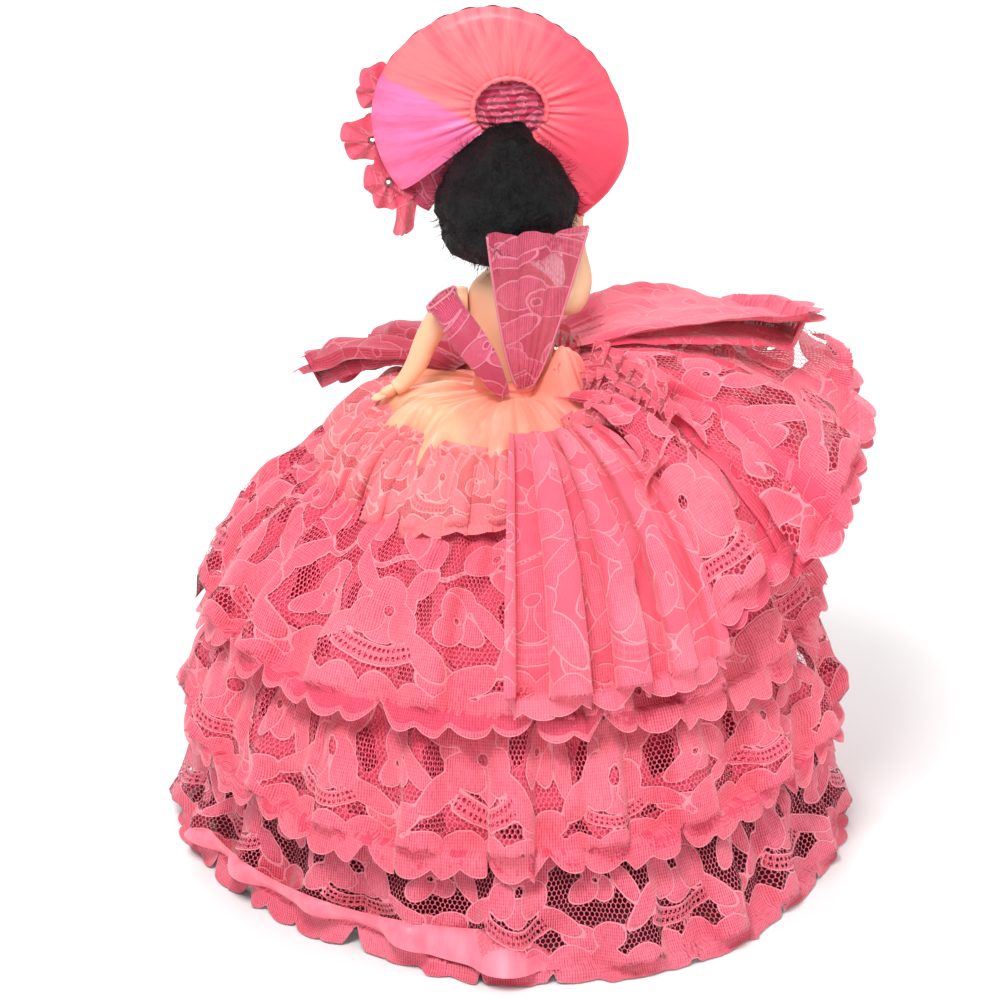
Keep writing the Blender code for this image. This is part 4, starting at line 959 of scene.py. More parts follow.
def satin_material(name, left, middle, right, shade, streak, folds=0.25, lean=0.0):
    """Satin with fine pressed creases. Its colour drifts across the piece from +X to -X as painted light and shade:
    lighter towards +X, darker towards -X, and with lean darker lower down and lit at the lower +X corner; the creases
    are painted darker as shade.
    """
    tree = Tree(name)
    place = tree.place()
    px, py, pz = tree.split(place)
    x, y, _ = tree.split(tree.attribute("cloth", "Vector"))
    drift = tree.math("ADD", px, tree.math("MULTIPLY", tree.math("SUBTRACT", tree.noise(place, 0.03), 0.5), 0.02))
    below = tree.math("MINIMUM", tree.math("MULTIPLY", tree.math("SUBTRACT", 0.2430, pz), lean), 0.022)
    corner = tree.math("ADD", drift, below)
    # Painted shade: with lean, the lower part turns to the darker right colour.
    colour = tree.mix(tree.ramp(tree.math("SUBTRACT", corner, drift), 0.0, 0.025), middle, right)
    # Painted shade: towards -X the colour turns to the darker right colour.
    colour = tree.mix(tree.ramp(drift, 0.002, -0.022, 0.0, 0.75), colour, right)
    # Painted light: towards +X, and with lean at the lower +X corner, the colour turns to the lighter left colour.
    colour = tree.mix(tree.ramp(corner, 0.0155, 0.0185), colour, left)
    creases = tree.noise(tree.join(tree.math("MULTIPLY", x, streak), tree.math("MULTIPLY", y, 0.05)), 1.0, 4.0, 0.6)
    # Painted shade: the creases are darkened with the shade colour.
    colour = tree.mix(tree.ramp(creases, 0.58, 0.34, 0.0, 0.55), colour, shade)
    weave = tree.noise(tree.join(tree.math("MULTIPLY", x, 6.0), tree.math("MULTIPLY", y, 1.2)), 1.0, 2.0)
    height = tree.math("ADD", creases, tree.math("MULTIPLY", weave, 0.15))
    normal = tree.bump(height, 0.0006, folds)
    return tree.finish(Base_Color=colour, Normal=normal, Roughness=tree.ramp(creases, 0.3, 0.7, 0.36, 0.52),
                       Sheen_Weight=0.3, Sheen_Roughness=0.3)


# The two half dolls. Heights are over the hip join, and up is 1 for the upper doll, -1 for the lower one.

HIP_Z = 0.130
TORSO_RINGS = [(0.0002, 0.0130, 0.0095, 0.0095), (0.0080, 0.0135, 0.0098, 0.0098), (0.0170, 0.0118, 0.0086, 0.0086),
               (0.0220, 0.0112, 0.0082, 0.0082), (0.0300, 0.0120, 0.0088, 0.0096), (0.0400, 0.0134, 0.0092, 0.0118),
               (0.0480, 0.0138, 0.0092, 0.0104), (0.0560, 0.0136, 0.0086, 0.0088), (0.0610, 0.0095, 0.0070, 0.0070),
               (0.0640, 0.0056, 0.0056, 0.0056), (0.0700, 0.0054, 0.0054, 0.0054)]
SHOULDER_HEIGHT = 0.052
LEFT_ARM = [(0.0140, 0.0000, 0.0000, 0.0042), (0.0180, 0.0000, -0.0003, 0.0046), (0.0225, 0.0015, -0.0045, 0.0043),
            (0.0270, 0.0030, -0.0120, 0.0038), (0.0305, 0.0035, -0.0205, 0.0034), (0.0345, 0.0042, -0.0262, 0.0027),
            (0.0372, 0.0047, -0.0280, 0.0024)]
RIGHT_ARM = [(0.0140, 0.0000, 0.0000, 0.0042), (0.0183, 0.0000, 0.0004, 0.0046), (0.0206, -0.0045, 0.0055, 0.0043),
             (0.0192, -0.0100, 0.0135, 0.0038), (0.0190, -0.0160, 0.0220, 0.0034), (0.0235, -0.0192, 0.0310, 0.0027),
             (0.0262, -0.0198, 0.0350, 0.0024)]
LOWER_ARM = [(0.0140, 0.0000, 0.0000, 0.0042), (0.0182, 0.0000, 0.0006, 0.0046), (0.0232, -0.0005, 0.0055, 0.0043),
             (0.0275, -0.0010, 0.0135, 0.0038), (0.0300, -0.0020, 0.0225, 0.0034), (0.0312, -0.0030, 0.0305, 0.0026),
             (0.0315, -0.0034, 0.0340, 0.0024)]
HEAD_HEIGHT = 0.0865
HEAD_RADII = (0.0165, 0.0175, 0.0185)


def doll_z(height, up):
    return HIP_Z + up * height


def curve_through(rows, count):
    """Evenly numbered points of a smooth curve through rows of numbers."""
    rows = [np.array(row, float) for row in rows]
    rows = [2 * rows[0] - rows[1]] + rows + [2 * rows[-1] - rows[-2]]
    spans = len(rows) - 3
    result = []
    for station in np.linspace(0, spans - 1e-6, count):
        k = int(station)
        step = station - k
        a, b, c, d = rows[k:k + 4]
        result.append(0.5 * (2 * b + (c - a) * step + (2 * a - 5 * b + 4 * c - d) * step ** 2
                             + (3 * b - 3 * c + d - a) * step ** 3))
    return np.array(result)


def torso_half(name, up, back, skin):
    rings = curve_through(TORSO_RINGS, 90)
    columns = 56
    turn = np.linspace(0, math.pi, columns)[:, None] * np.ones((1, len(rings)))
    height = rings[:, 0][None, :] * np.ones((columns, 1))
    width = rings[:, 1][None, :]
    depth = rings[:, 2 if back else 3][None, :]
    across = np.cos(turn) * width
    out = np.sin(turn) ** 0.9 * depth
    if back:
        spine = np.exp(-(across / 0.0016) ** 2) * np.clip((height - 0.008) / 0.03, 0, 1)
        blades = sum(np.exp(-((across - side) / 0.0035) ** 2 - ((height - 0.046) / 0.006) ** 2)
                     for side in (-0.0065, 0.0065))
        out = out - 0.0004 * spine * (height < 0.058) + 0.0003 * blades
    else:
        bust = sum(np.exp(-((across - side) / 0.0042) ** 2 - ((height - 0.0405) / 0.0052) ** 2)
                   for side in (-0.0058, 0.0058))
        out = out - 0.0006 * np.exp(-(across / 0.0022) ** 2 - ((height - 0.0405) / 0.006) ** 2) + 0.0004 * bust
    points = np.stack([across, out if back else -out, doll_z(height, up)], axis=-1)
    side = "back" if back else "front"
    item = grid_object(f"{name}_torso_{side}_skin", points)
    settle(item, "body", [f"{name}_torso_{side}"], skin)


def joined(name, parts):
    """One object from several, whose meshes are joined as they are."""
    mesh = bmesh.new()
    for part in parts:
        mesh.from_mesh(part.data)
        bpy.data.objects.remove(part, do_unlink=True)
    data = bpy.data.meshes.new(name)
    mesh.to_mesh(data)
    mesh.free()
    data.shade_smooth()
    item = bpy.data.objects.new(name, data)
    bpy.context.scene.collection.objects.link(item)
    return item


def arm(name, node, side, up, rows, body, skin):
    course = [(Vector((side * x, y, doll_z(SHOULDER_HEIGHT + height, up))), radius)
              for x, y, height, radius in curve_through(rows, 60)]
    parts = [tube("part", course, 22)]
    wrist = course[-1][0]
    along = (course[-1][0] - course[-4][0]).normalized()
    aside = Vector((0, 1, 0))
    aside = (aside - along * aside.dot(along)).normalized()
    palm = [(wrist + along * s * MM, r * MM) for s, r in ((-0.6, 2.2), (0.6, 2.5), (2.0, 2.8), (3.4, 2.7), (4.4, 2.2))]
    parts.append(tube("part", palm, 18, 0.62))
    for k, (spread, reach) in enumerate(((-1.55, 4.0), (-0.52, 4.7), (0.52, 4.5), (1.5, 3.7))):
        root = wrist + along * 3.6 * MM + aside * spread * MM
        bend = along.cross(aside) * 0.5 * MM
        course = [(root + (along * s * reach + aside * spread * 0.16 * s) * MM + bend * s * s,
                   0.74 * MM * (1 - 0.35 * s ** 3)) for s in np.linspace(0, 0.92, 7)]
        course.append((course[-1][0] + along * 0.22 * MM, 0.3 * MM))
        parts.append(tube("part", course, 10))
    thumb = wrist + along * 1.2 * MM + aside * -1.9 * MM
    course = [(thumb + (along * s * 2.6 - aside * (1.5 * s + 0.2)) * MM, 0.85 * MM * (1 - 0.3 * s ** 3))
              for s in np.linspace(0, 1, 7)]
    course.append((course[-1][0] + along * 0.2 * MM, 0.35 * MM))
    parts.append(tube("part", course, 10))
    settle(joined(f"{name}_skin", parts), body, [node], skin)


def sphere_grid(columns, rows, lowest=-math.pi / 2 + 0.02, highest=math.pi / 2 - 0.02):
    longitude = np.linspace(0, TAU, columns, endpoint=False)[:, None] * np.ones((1, rows))
    latitude = np.linspace(lowest, highest, rows)[None, :] * np.ones((columns, 1))
    flat = np.cos(latitude)
    return np.stack([flat * np.cos(longitude), flat * np.sin(longitude), np.sin(latitude)], axis=-1)


def hump(x, z, cx, cz, wide, high):
    return np.exp(-((x - cx) / wide) ** 2 - ((z - cz) / high) ** 2)


def head(name, up, body, skin):
    way = sphere_grid(150, 130)
    radii = np.array(HEAD_RADII)
    x, z = way[..., 0] * radii[0] / MM, way[..., 2] * radii[2] / MM
    front = np.clip(-way[..., 1], 0, 1)
    out = 1.7 * hump(x, z, 0, -2.9, 1.3, 1.9) + 0.8 * hump(x, z, 0, -0.5, 0.9, 3.2)
    out += 1.3 * hump(x, z, 0, -12.2, 3.6, 2.6) + 0.55 * hump(x, z, 0, -7.4, 2.3, 0.7) + 0.5 * hump(x, z, 0, -8.9, 1.9, 0.7)
    out -= 0.25 * hump(x, z, 0, -8.1, 2.6, 0.25)
    for side in (-1, 1):
        out += 0.7 * hump(x, z, side * 7.5, -5.5, 4.0, 4.0) - 0.55 * hump(x, z, side * 5.4, 0.3, 3.0, 2.0)
        out += 0.35 * hump(x, z, side * 5.4, 0.2, 1.9, 1.2) + 0.25 * hump(x, z, side * 1.3, -3.5, 0.7, 0.6)
    jaw = 1 - 0.14 * np.clip(-way[..., 2], 0, 1) ** 2
    place = way * radii
    place[..., 0] *= jaw
    place[..., 1] -= out * front * MM
    place[..., 1] -= 0.0010
    place[..., 2] = doll_z(HEAD_HEIGHT, up) + up * place[..., 2]
    item = grid_object(f"{name}_head_skin", place, round_it=True)
    add_vector(item, "face", x * jaw, z, -way[..., 1])
    settle(item, body, [f"{name}_head"], skin)
    rim = [(Vector((0, 0, doll_z(HEAD_HEIGHT - 0.0180, up))), 0.0078), (Vector((0, 0, doll_z(HEAD_HEIGHT - 0.0140, up))), 0.0080)]
    settle(tube(f"{name}_neck_rim", rim, 32), body, (), skin)


def skin_material(name, base, rosy, painted=False):
    tree = Tree(name)
    mottle = tree.noise(tree.place(), 0.012, 3.0)
    colour = tree.mix(tree.ramp(mottle, 0.3, 0.75, 0.0, 0.35), base, rosy)
    if painted:
        x, z, front = tree.split(tree.attribute("face", "Vector"))
        side = tree.math("ABSOLUTE", x)

        def oval(cx, cz, wide, high):
            dx = tree.math("DIVIDE", tree.math("SUBTRACT", side, cx), wide)
            dz = tree.math("DIVIDE", tree.math("SUBTRACT", z, cz), high)
            return tree.vector_math("LENGTH", tree.join(dx, dz))

        def paint(colour, field, edge, pigment, strength=1.0):
            share = tree.math("MULTIPLY", tree.ramp(field, 1 + edge, 1 - edge, 0.0, strength), tree.ramp(front, 0.0, 0.1))
            return tree.mix(share, colour, pigment)

        colour = paint(colour, oval(7.6, -5.0, 3.6, 3.0), 0.6, (0.90, 0.24, 0.18), 0.45)
        colour = paint(colour, oval(5.4, 1.0, 2.9, 1.9), 0.2, (0.42, 0.20, 0.12), 0.45)
        colour = paint(colour, oval(5.5, 0.75, 2.75, 1.55), 0.07, (0.012, 0.008, 0.008))
        colour = paint(colour, oval(5.4, 0.20, 2.35, 1.35), 0.05, (0.85, 0.84, 0.80))
        colour = paint(colour, oval(5.2, 0.35, 1.18, 1.25), 0.06, (0.10, 0.035, 0.012))
        colour = paint(colour, oval(5.2, 0.35, 0.60, 0.62), 0.10, (0.004, 0.003, 0.003))
        # Painted highlight: a white glint on each iris.
        colour = paint(colour, oval(4.85, 0.85, 0.32, 0.32), 0.2, (1.0, 1.0, 1.0))
        brow = tree.math("ADD", z, tree.math("MULTIPLY", tree.math("POWER", tree.math("SUBTRACT", side, 5.4), 2.0), 0.11))
        brow = tree.math("MULTIPLY", tree.math("ABSOLUTE", tree.math("SUBTRACT", brow, 4.3)), 2.6)
        brow = tree.math("MAXIMUM", brow, tree.math("DIVIDE", tree.math("ABSOLUTE", tree.math("SUBTRACT", side, 5.6)), 3.0))
        colour = paint(colour, brow, 0.12, (0.03, 0.015, 0.010))
        colour = paint(colour, oval(0.75, -7.35, 1.75, 0.62), 0.12, (0.62, 0.03, 0.05))
        colour = paint(colour, oval(0.0, -8.75, 1.95, 0.80), 0.12, (0.68, 0.045, 0.07))
        colour = paint(colour, oval(0.0, -8.05, 2.5, 0.14), 0.5, (0.25, 0.01, 0.02))
    grain = tree.noise(tree.place(), 0.0008, 2.0)
    return tree.finish(Base_Color=colour, Roughness=0.42, Normal=tree.bump(grain, 0.0001, 0.15),
                       Subsurface_Weight=0.08, Subsurface_Radius=(0.004, 0.0015, 0.0008), Subsurface_Scale=1.0)


def hair_surface(way, up, shift, radius, seed):
    """The lumpy outside of the hair along unit directions; its opening for the face sinks into the head."""
    lumps = np.zeros(way.shape[:2])
    for size, depth in ((0.45, 0.075), (0.22, 0.050), (0.10, 0.024)):
        for i in range(way.shape[0]):
            for j in range(way.shape[1]):
                lumps[i, j] += depth * noise.noise(Vector(way[i, j]) / size + Vector((seed, 0, 0)))
    x, z = way[..., 0] * 22.0, way[..., 2] * 22.0
    opening = np.sqrt((x / 13.0) ** 2 + ((z + 4.0) / 14.6) ** 2)
    opening = np.where(way[..., 1] < 0, np.clip((1.12 - opening) / 0.16, 0, 1), 0)
    nape = np.clip((-way[..., 2] - 0.86) / 0.06, 0, 1)
    sunk = np.maximum(opening, nape)
    tuck = np.clip((way[..., 2] - 0.05) / 0.5, 0, 1) * np.clip((np.abs(way[..., 0]) - 0.22) / 0.4, 0, 1)
    low = np.clip((-way[..., 2] - 0.1) / 0.6, 0, 1) * np.clip((way[..., 0] + 0.1) / 0.6, 0, 1)
    reach = radius * (1 + lumps - (0.155 * tuck - 0.05 * low) * (up > 0)) * (1 - sunk) + 0.0125 * sunk
    reach = np.maximum(reach, 0.0198 * (1 - sunk) + 0.0125 * sunk)
    place = way * reach[..., None]
    place[..., 0] += shift[0]
    place[..., 1] += shift[1]
    place[..., 2] = doll_z(HEAD_HEIGHT + 0.0010, up) + up * place[..., 2]
    return place, sunk


def wig(name, up, shift, radius, body, hair, strands, seed):
    way = sphere_grid(110, 80)
    place, sunk = hair_surface(way, up, shift, radius, seed)
    item = grid_object(f"{name}_wig_hair", place, round_it=True)
    settle(item, body, [f"{name}_wig"], hair)
    dice = random.Random(seed)
    points, faces = [], []
    steps = 6
    count = 0
    while count < strands:
        z = dice.uniform(-1, 1)
        turn = dice.uniform(0, TAU)
        flat = math.sqrt(1 - z * z)
        root = np.array([[[flat * math.cos(turn), flat * math.sin(turn), z]]])
        start, covered = hair_surface(root, up, shift, radius, seed)
        if covered[0, 0] > 0.02:
            continue
        count += 1
        normal = Vector(root[0, 0])
        normal.z *= up
        swirl = Vector((noise.noise(normal * 2.2), noise.noise(normal * 2.2 + Vector((9, 0, 0))),
                        noise.noise(normal * 2.2 + Vector((0, 9, 0))) - 0.35 * up))
        way_along = (swirl - normal * swirl.dot(normal)).normalized()
        place_now = Vector(start[0, 0]) - normal * 0.6 * MM
        curl_axis = Vector((dice.gauss(0, 1), dice.gauss(0, 1), dice.gauss(0, 1))).normalized()
        bend = dice.uniform(-0.75, 0.75)
        rise = dice.uniform(0.05, 0.50)
        step = dice.uniform(0.5, 1.15) * MM
        half = 0.11 * MM
        base = len(points)
        for k in range(steps + 1):
            aside = way_along.cross(normal).normalized() * half * (1 - 0.6 * k / steps)
            points.append(place_now - aside)
            points.append(place_now + aside)
            way_along = (Matrix.Rotation(bend / 1.6, 3, curl_axis) @ way_along).normalized()
            place_now = place_now + (way_along + normal * rise * (0.8 - k / steps)) * step
        for k in range(steps):
            a = base + 2 * k
            faces.append((a, a + 1, a + 3, a + 2))
    item = fresh_object(f"{name}_wig_strands", points, faces)
    settle(item, body, (), hair)


def skirt_satin(name, light, deep, hem, inner_shade_top):
    """The foundation's satin, mottled between a light and a darker red, and painted near-black below a height as the
    shade inside the skirt.
    """
    tree = Tree(name)
    place = tree.place()
    _, _, z = tree.split(place)
    colour = tree.mix(tree.ramp(tree.noise(place, 0.012, 4.0), 0.35, 0.7), deep, light)
    # Painted shade: below the given height the satin turns near-black, as the shade inside the skirt.
    colour = tree.mix(tree.ramp(z, inner_shade_top + 0.004, inner_shade_top), colour, hem)
    return tree.finish(Base_Color=colour, Roughness=0.5, Normal=tree.bump(tree.noise(place, 0.003), 0.0008, 0.4))


def hair_material(name):
    tree = Tree(name)
    place = tree.place()
    clumps = tree.noise(place, 0.006, 4.0, 0.7)
    fine = tree.noise(place, 0.0012, 3.0, 0.7)
    colour = tree.mix(tree.ramp(clumps, 0.42, 0.72), (0.0008, 0.0008, 0.0010), (0.0045, 0.0048, 0.006))
    height = tree.math("ADD", clumps, tree.math("MULTIPLY", fine, 0.5))
    return tree.finish(Base_Color=colour, Roughness=0.60, Normal=tree.bump(height, 0.0022, 1.0), Specular_IOR_Level=0.28)


def wrap_band(name, node, up, height, width, rings_height, swell, folds, material, seed, bulge=0.0004):
    """A soft band round the waist, with folds along it."""
    ring = curve_through(TORSO_RINGS, 200)
    row = ring[np.argmin(np.abs(ring[:, 0] - rings_height))]
    columns, rows = 180, 26
    turn = np.linspace(0, TAU, columns, endpoint=False)[:, None] * np.ones((1, rows))
    t = np.linspace(0, 1, rows)[None, :] * np.ones((columns, 1))
    depth = np.where(np.sin(turn) > 0, row[2], row[3])
    crease = 0.35 * MM * np.sin(TAU * folds * t + 1.2 * wander(turn, seed, 2, 5, True))
    out = swell + bulge * np.sin(math.pi * t) + crease * np.sin(math.pi * t)
    z = doll_z(height + width * t, up) + up * 0.5 * MM * wander(turn, seed + 2, 2, 5, True)
    points = np.stack([(row[1] + out) * np.cos(turn), (depth + out) * np.sin(turn), z], axis=-1)
    item = grid_object(name, points, round_it=True)
    add_vector(item, "cloth", turn * row[1] / MM, width * t / MM, np.zeros_like(t))
    settle(item, "body", [node], material)
    return item


def bodice(name, up, lace, lining):
    columns, rows = 90, 60
    ring = curve_through(TORSO_RINGS, 300)
    s = np.linspace(-1, 1, columns)[:, None] * np.ones((1, rows))
    t = np.linspace(0, 1, rows)[None, :] * np.ones((columns, 1))
    height = 0.0275 + (0.0458 - 0.0275) * t - 0.0022 * t ** 3 * np.cos(math.pi * s) * 0.6
    width = np.interp(height, ring[:, 0], ring[:, 1])
    depth = np.interp(height, ring[:, 0], ring[:, 3])
    angle = -math.pi / 2 + math.radians(76) * s
    gather = 0.18 * MM * np.sin(46 * s + 2 * wander(s * 3, 5, 1, 4, False)) * (1 - t)
    rim = 0.45 * MM * np.clip((t - 0.9) / 0.1, 0, 1) * np.sin(60 * s)
    for label, swell, material, slot, replaced in (("lining", 0.35 * MM, lining, "pink_satin", ()),
                                                   ("lace", 0.95 * MM, lace, "coral_lace", [f"{name}_bodice"])):
        out = swell + gather + rim
        points = np.stack([(width + out) * np.cos(angle), (depth + out) * np.sin(angle), doll_z(height, up)], axis=-1)
        item = grid_object(f"{name}_bodice_{label}", points)
        if label == "lace":
            add_float(item, "hem_line", np.full(s.shape, 99.0))
            dress_lace(item, s * 0.019 + 0.004, (1 - t) * 0.019, 0.5)
        else:
            add_vector(item, "cloth", s * 19, t * 18, np.zeros_like(t))
        settle(item, "body", replaced, material)


def collar(lace, thread):
    columns, rows = 110, 120
    s = np.linspace(0, 1, columns)[:, None] * np.ones((1, rows))
    t = np.linspace(0, 1, rows)[None, :] * np.ones((columns, 1))
    foot, top = np.array([-0.0036, 0.0116, 0.0270]), np.array([-0.0062, 0.0262, 0.0850])
    width = 0.0030 + (0.0285 - 0.0030) * t ** 0.62
    turned = np.clip((0.17 - s) / 0.17, 0, 1)
    crest = 0.0016 * np.abs(np.sin(TAU * (1.3 * s + 0.13))) ** 0.6 - 0.0012 * s
    x = foot[0] + (top[0] - foot[0]) * t + width * (s - 0.5) - 0.0030 * turned * t
    fold = 0.00085 * np.sin(TAU * (2.6 * s + 0.25 * t)) * (0.25 + 0.75 * t) + 0.0003 * np.sin(TAU * 7 * s + 3 * t) * (1 - 0.4 * t)
    y = foot[1] + (top[1] - foot[1]) * t - 0.0020 * np.sin(math.pi * t) + fold - 0.0052 * turned * t
    height = foot[2] + (top[2] - foot[2] + crest) * t
    points = np.stack([x, y, doll_z(height, 1)], axis=-1)
    item = grid_object("collar_panel_lace", points)
    add_float(item, "hem_line", np.full(s.shape, 99.0))
    dress_lace(item, width * (s - 0.5) + 0.046, t * 0.060 + 0.011, 0.9)
    settle(item, "body", ["collar_panel"], lace)
    for label, column in (("left", -1), ("right", 0)):
        edge = [(Vector(point), 0.00042) for point in points[column, ::3]]
        settle(tube(f"collar_edge_{label}", edge, 8), "body", (), thread)


STRAP_ROWS = [(0.0026, 0.0130, 0.0250, 0.0020), (0.0056, 0.0143, 0.0310, 0.0034), (0.0096, 0.0146, 0.0385, 0.0046),
              (0.0150, 0.0140, 0.0465, 0.0052), (0.0192, 0.0127, 0.0528, 0.0050), (0.0226, 0.0113, 0.0578, 0.0053)]


def strap(lace, thread):
    columns, rows = 72, 90
    course = curve_through(STRAP_ROWS, rows)
    turn = np.linspace(0, TAU, columns, endpoint=False)
    along = np.array([0.62, -0.06, 0.78])
    aside = np.cross(along, [0, 1, 0])
    aside /= np.linalg.norm(aside)
    other = np.cross(along, aside)
    t = np.linspace(0, 1, rows)
    flatness = 0.46 + 0.34 * t ** 2
    swell = course[:, 3][None, :] * (1 + 0.07 * np.cos(3 * turn + 1)[:, None] + 0.05 * np.sin(5 * turn[:, None] + 6 * t))
    middle = np.stack([course[:, 0], course[:, 1], doll_z(course[:, 2], 1)], axis=-1)[None]
    points = middle + (swell * np.cos(turn)[:, None])[..., None] * aside + (swell * flatness * np.sin(turn)[:, None])[..., None] * other
    item = grid_object("left_strap_lace", points, round_it=True)
    u = np.repeat(turn[:, None] * 0.0038, rows, axis=1)
    w = np.repeat((t * 0.040)[None], columns, axis=0)
    add_float(item, "hem_line", np.full(u.shape, 99.0))
    dress_lace(item, u + 0.05, w + 0.012, 0.62)
    settle(item, "body", ["left_strap"], lace)
    rim = [(Vector(point), 0.00038) for point in points[:, -1]] + [(Vector(points[0, -1]), 0.00038)]
    stitches = [tube("part", rim, 8)]
    for k in range(0, columns, 5):
        place, inward = Vector(points[k, -1]), Vector(points[k, -5])
        axis = (place - Vector(middle[0, -1])).normalized()
        loop = []
        for turn_k in np.linspace(0, TAU, 12):
            loop.append((place.lerp(inward, 0.5) + (place - inward) * 0.75 * math.cos(turn_k)
                         + axis * 0.62 * MM * math.sin(turn_k), 0.00016))
        stitches.append(tube("part", loop, 5))
    settle(joined("left_strap_stitches", stitches), "body", (), thread)


def small_hidden_parts(skin, wood, tape, binding):
    for prefix, up in (("upper", 1), ("lower", -1)):
        course = [(Vector((0, 0, doll_z(h, up))), r) for h, r in
                  ((0.0675, 0.0030), (0.0745, 0.0030), (0.0749, 0.0069), (0.0760, 0.0069), (0.0764, 0.0055))]
        if up < 0:
            course = list(reversed(course))
        settle(tube(f"{prefix}_button_skin", course, 28), "body", [f"{prefix}_neck_button"], skin)
    course = [(Vector((0, 0, HIP_Z + dz)), r) for dz, r in
              ((-0.0130, 0.0060), (-0.0124, 0.0068), (0.0124, 0.0068), (0.0130, 0.0060))]
    settle(tube("hip_dowel_wood", course, 32), "body", ["hip_dowel"], wood)
    wrap_band("hip_tape_cotton", "hip_tape", 1, -0.0046, 0.0092, 0.0080, 0.0006, 5, tape, 71)
    columns, rows = 360, 13
    turn = np.linspace(0, TAU, columns, endpoint=False)[:, None] * np.ones((1, rows))
    ring = np.linspace(0, TAU, rows)[None, :] * np.ones((columns, 1))
    out = 0.0885 + 0.0039 * np.cos(ring) + 0.25 * MM * np.sin(60 * turn)
    z = np.maximum(0.0016 + 0.0015 * np.sin(ring), 0)
    points = np.stack([out * np.cos(turn), out * np.sin(turn), z], axis=-1)
    item = grid_object("hem_binding_cotton", points, round_it=True)
    add_vector(item, "cloth", turn * 88, ring * 3, np.zeros_like(z))
    settle(item, "body", ["hem_binding"], binding)


def cap(satin, trim):
    """The lower doll's gathered cap, flat under its crown; its ruffled rim hides the hairline."""
    columns, rows = 240, 60
    turn = np.linspace(0, TAU, columns, endpoint=False)[:, None] * np.ones((1, rows))
    profile, length = smooth_path([(0.0004, 0.0003), (0.0150, 0.0003), (0.0208, 0.0022), (0.0242, 0.0085),
                                   (0.0246, 0.0200), (0.0242, 0.0300), (0.0236, 0.0325)], rows)
    t = np.linspace(0, 1, rows)
    folds = 0.55 * MM * np.sin(30 * turn + 1.5 * wander(turn, 77, 2, 5, True)) * np.sin(math.pi * np.clip(t * 1.1, 0, 1)) ** 0.7
    radius = profile[:, 0][None] - 0.3 * MM + folds
    z = np.maximum(profile[:, 1][None] + 0.2 * folds, 0.0002) * np.ones_like(turn)
    points = np.stack([radius * np.cos(turn), radius * np.sin(turn), z], axis=-1)
    item = grid_object("lower_cap_satin", points, round_it=True)
    add_vector(item, "cloth", turn * 24, np.repeat(t[None] * length / MM, columns, axis=0), np.zeros_like(turn))
    settle(item, "lower_head", ["lower_cap"], satin)
    lace_strip("lower_cap_lace", [(0.0240, 0.0300), (0.0252, 0.0335), (0.0275, 0.0370), (0.0290, 0.0410)], 0, TAU, 40, 0.9 * MM, trim,
               body="lower_head", scale=0.45, spacing=0.7 * MM, fine=0.2 * MM, crease=0.1 * MM, round_it=True,
               seed=78, rests_on=["lower_cap_satin"])


def add_dolls(skin, face, hair, satin, peach, pink, lace, collar_lace, thread, wood, tape):
    for prefix, up, shift, arms, strands in (("upper", 1, (0.0020, 0.0010), (LEFT_ARM, RIGHT_ARM), 5200),
                                             ("lower", -1, (0.0, 0.0), (LOWER_ARM, LOWER_ARM), 600)):
        torso_half(prefix, up, True, skin)
        torso_half(prefix, up, False, skin)
        head(prefix, up, f"{prefix}_head", face)
        wig(prefix, up, shift, 0.0222 if up > 0 else 0.0218, f"{prefix}_head", hair, strands, 5 + up)
        for side, sign, rows in (("left", 1, arms[0]), ("right", -1, arms[1])):
            arm(f"{prefix}_{side}_arm", f"{prefix}_{side}_arm", sign, up, rows, f"{prefix}_{side}_arm", skin)
        wrap_band(f"{prefix}_sash_satin", f"{prefix}_sash", up, 0.0200, 0.0074, 0.0220, 0.0007, 3,
                  peach if up > 0 else satin, 55)
        bodice(prefix, up, lace, satin)
    collar(collar_lace, thread)
    strap(collar_lace, thread)
    small_hidden_parts(skin, wood, tape, tape)
    cap(pink, lace)


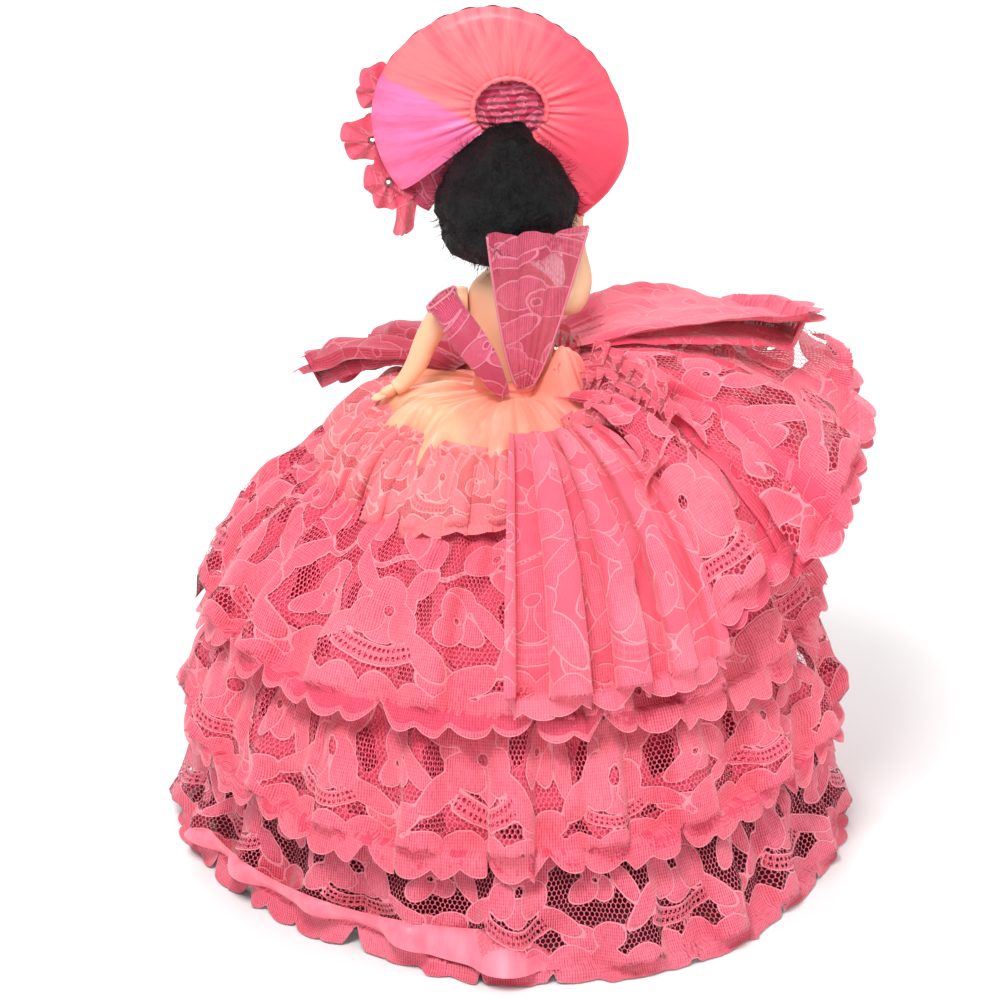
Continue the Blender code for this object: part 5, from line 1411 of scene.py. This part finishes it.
def build_all():
    add_camera()
    add_stage()
    lace = lace_material("coral_lace", (0.93, 0.13, 0.20), (0.96, 0.165, 0.23), (0.98, 0.27, 0.33), (0.74, 0.05, 0.11))
    # The lower tier's lace is the coral lace painted darker, as the shade low on the skirt; the lower doll's bodice and
    # cap trim share it.
    lace_shaded_lower = lace_material("coral_lace_shaded_lower", (0.86, 0.12, 0.18), (0.90, 0.155, 0.23), (0.96, 0.28, 0.35),
                              (0.62, 0.045, 0.10))
    # coral_underlay is the coral lace painted darker, as the shade between the tiers' layers.
    lace_under = lace_material("coral_underlay", (0.80, 0.05, 0.12), (0.84, 0.07, 0.14), (0.88, 0.12, 0.20),
                               (0.60, 0.03, 0.08))
    # lined_lace is the coral lace painted darker, as the shade in the flounces' undersides.
    lace_lined = lace_material("lined_lace", (0.84, 0.07, 0.14), (0.88, 0.10, 0.17), (0.90, 0.16, 0.24),
                               (0.66, 0.035, 0.09), 0.9)
    lace_light = lace_material("peach_edge_lace", (0.97, 0.19, 0.22), (0.98, 0.22, 0.25), (1.0, 0.38, 0.38),
                               (0.88, 0.11, 0.15), 0.6)
    # The foundation satin is painted darker than plain pink satin as shade under the lace tiers, and near-black below
    # 58 mm as the shade inside the skirt.
    satin = skirt_satin("foundation_satin", (0.80, 0.05, 0.11), (0.58, 0.018, 0.055), (0.05, 0.010, 0.016), 0.058)
    # The peach and hem-band satins carry painted light and shade: lighter towards +X, darker towards -X and in the
    # creases.
    peach = satin_material("peach_satin", (0.98, 0.44, 0.26), (0.98, 0.38, 0.26), (0.96, 0.24, 0.22),
                           (0.80, 0.20, 0.14), 0.12, 0.4)
    band = satin_material("hem_band_satin", (0.98, 0.24, 0.32), (0.98, 0.22, 0.30), (0.96, 0.20, 0.28),
                          (0.80, 0.09, 0.15), 0.12, 0.3)
    # maroon_cotton is near-black; on the lower tier's added sheet it is painted shade, the shade inside the skirt seen
    # through the net.
    cotton = plain_material("maroon_cotton", (0.06, 0.012, 0.018), 0.9)
    add_skirts(lace, lace_shaded_lower, lace_under, lace_light, satin, peach, band, cotton)
    lace_smooth = lace_material("smooth_lace", (0.86, 0.09, 0.16), (0.89, 0.115, 0.18), (0.94, 0.20, 0.27),
                                (0.74, 0.05, 0.11), 0.94)
    # ruche_lace is the lace painted darkest, as the shade inside the hat's hole and behind the brim.
    ruche_lace = lace_material("ruche_lace", (0.60, 0.03, 0.10), (0.82, 0.11, 0.22), (0.90, 0.24, 0.34),
                               (0.48, 0.02, 0.07), 1.0)
    lace_dark = lace_material("shaded_lace", (0.50, 0.035, 0.07), (0.58, 0.055, 0.10), (0.72, 0.11, 0.17),
                              (0.36, 0.018, 0.045), 0.94)
    lace_rolled = lace_material("rolled_lace", (0.90, 0.12, 0.19), (0.96, 0.175, 0.25), (0.98, 0.30, 0.36),
                                (0.78, 0.065, 0.13), 0.88)
    add_flounces(lace, lace, lace_lined, lace_smooth, lace_dark, lace_rolled)
    # The hat satin's colours are painted light and shade: a lit lavender-pink at the lower +X side, the coral middle, a
    # shaded deep red towards -X and lower down, and a crease shade.
    hat_satin = satin_material("hat_satin", (0.98, 0.17, 0.40), (0.98, 0.185, 0.20), (0.80, 0.055, 0.11),
                               (0.86, 0.040, 0.10), 0.30, 0.4, 1.9)
    steel = plain_material("steel_wire", (0.55, 0.55, 0.57), 0.35)
    add_hat(hat_satin, lace_smooth, ruche_lace, steel)
    skin = skin_material("skin_plastic", (0.85, 0.50, 0.30), (0.90, 0.44, 0.27))
    face = skin_material("painted_face", (0.85, 0.50, 0.30), (0.90, 0.44, 0.27), True)
    collar_lace = lace_material("collar_lace", (0.58, 0.06, 0.13), (0.70, 0.10, 0.19), (0.84, 0.24, 0.34),
                                (0.46, 0.035, 0.09), 0.86)
    thread = plain_material("stitch_thread", (0.72, 0.22, 0.30), 0.7)
    wood = plain_material("dowel_wood", (0.50, 0.32, 0.16), 0.7)
    add_dolls(skin, face, hair_material("black_mohair"), satin, peach, band, lace_shaded_lower, collar_lace, thread, wood,
              cotton)


build_all()
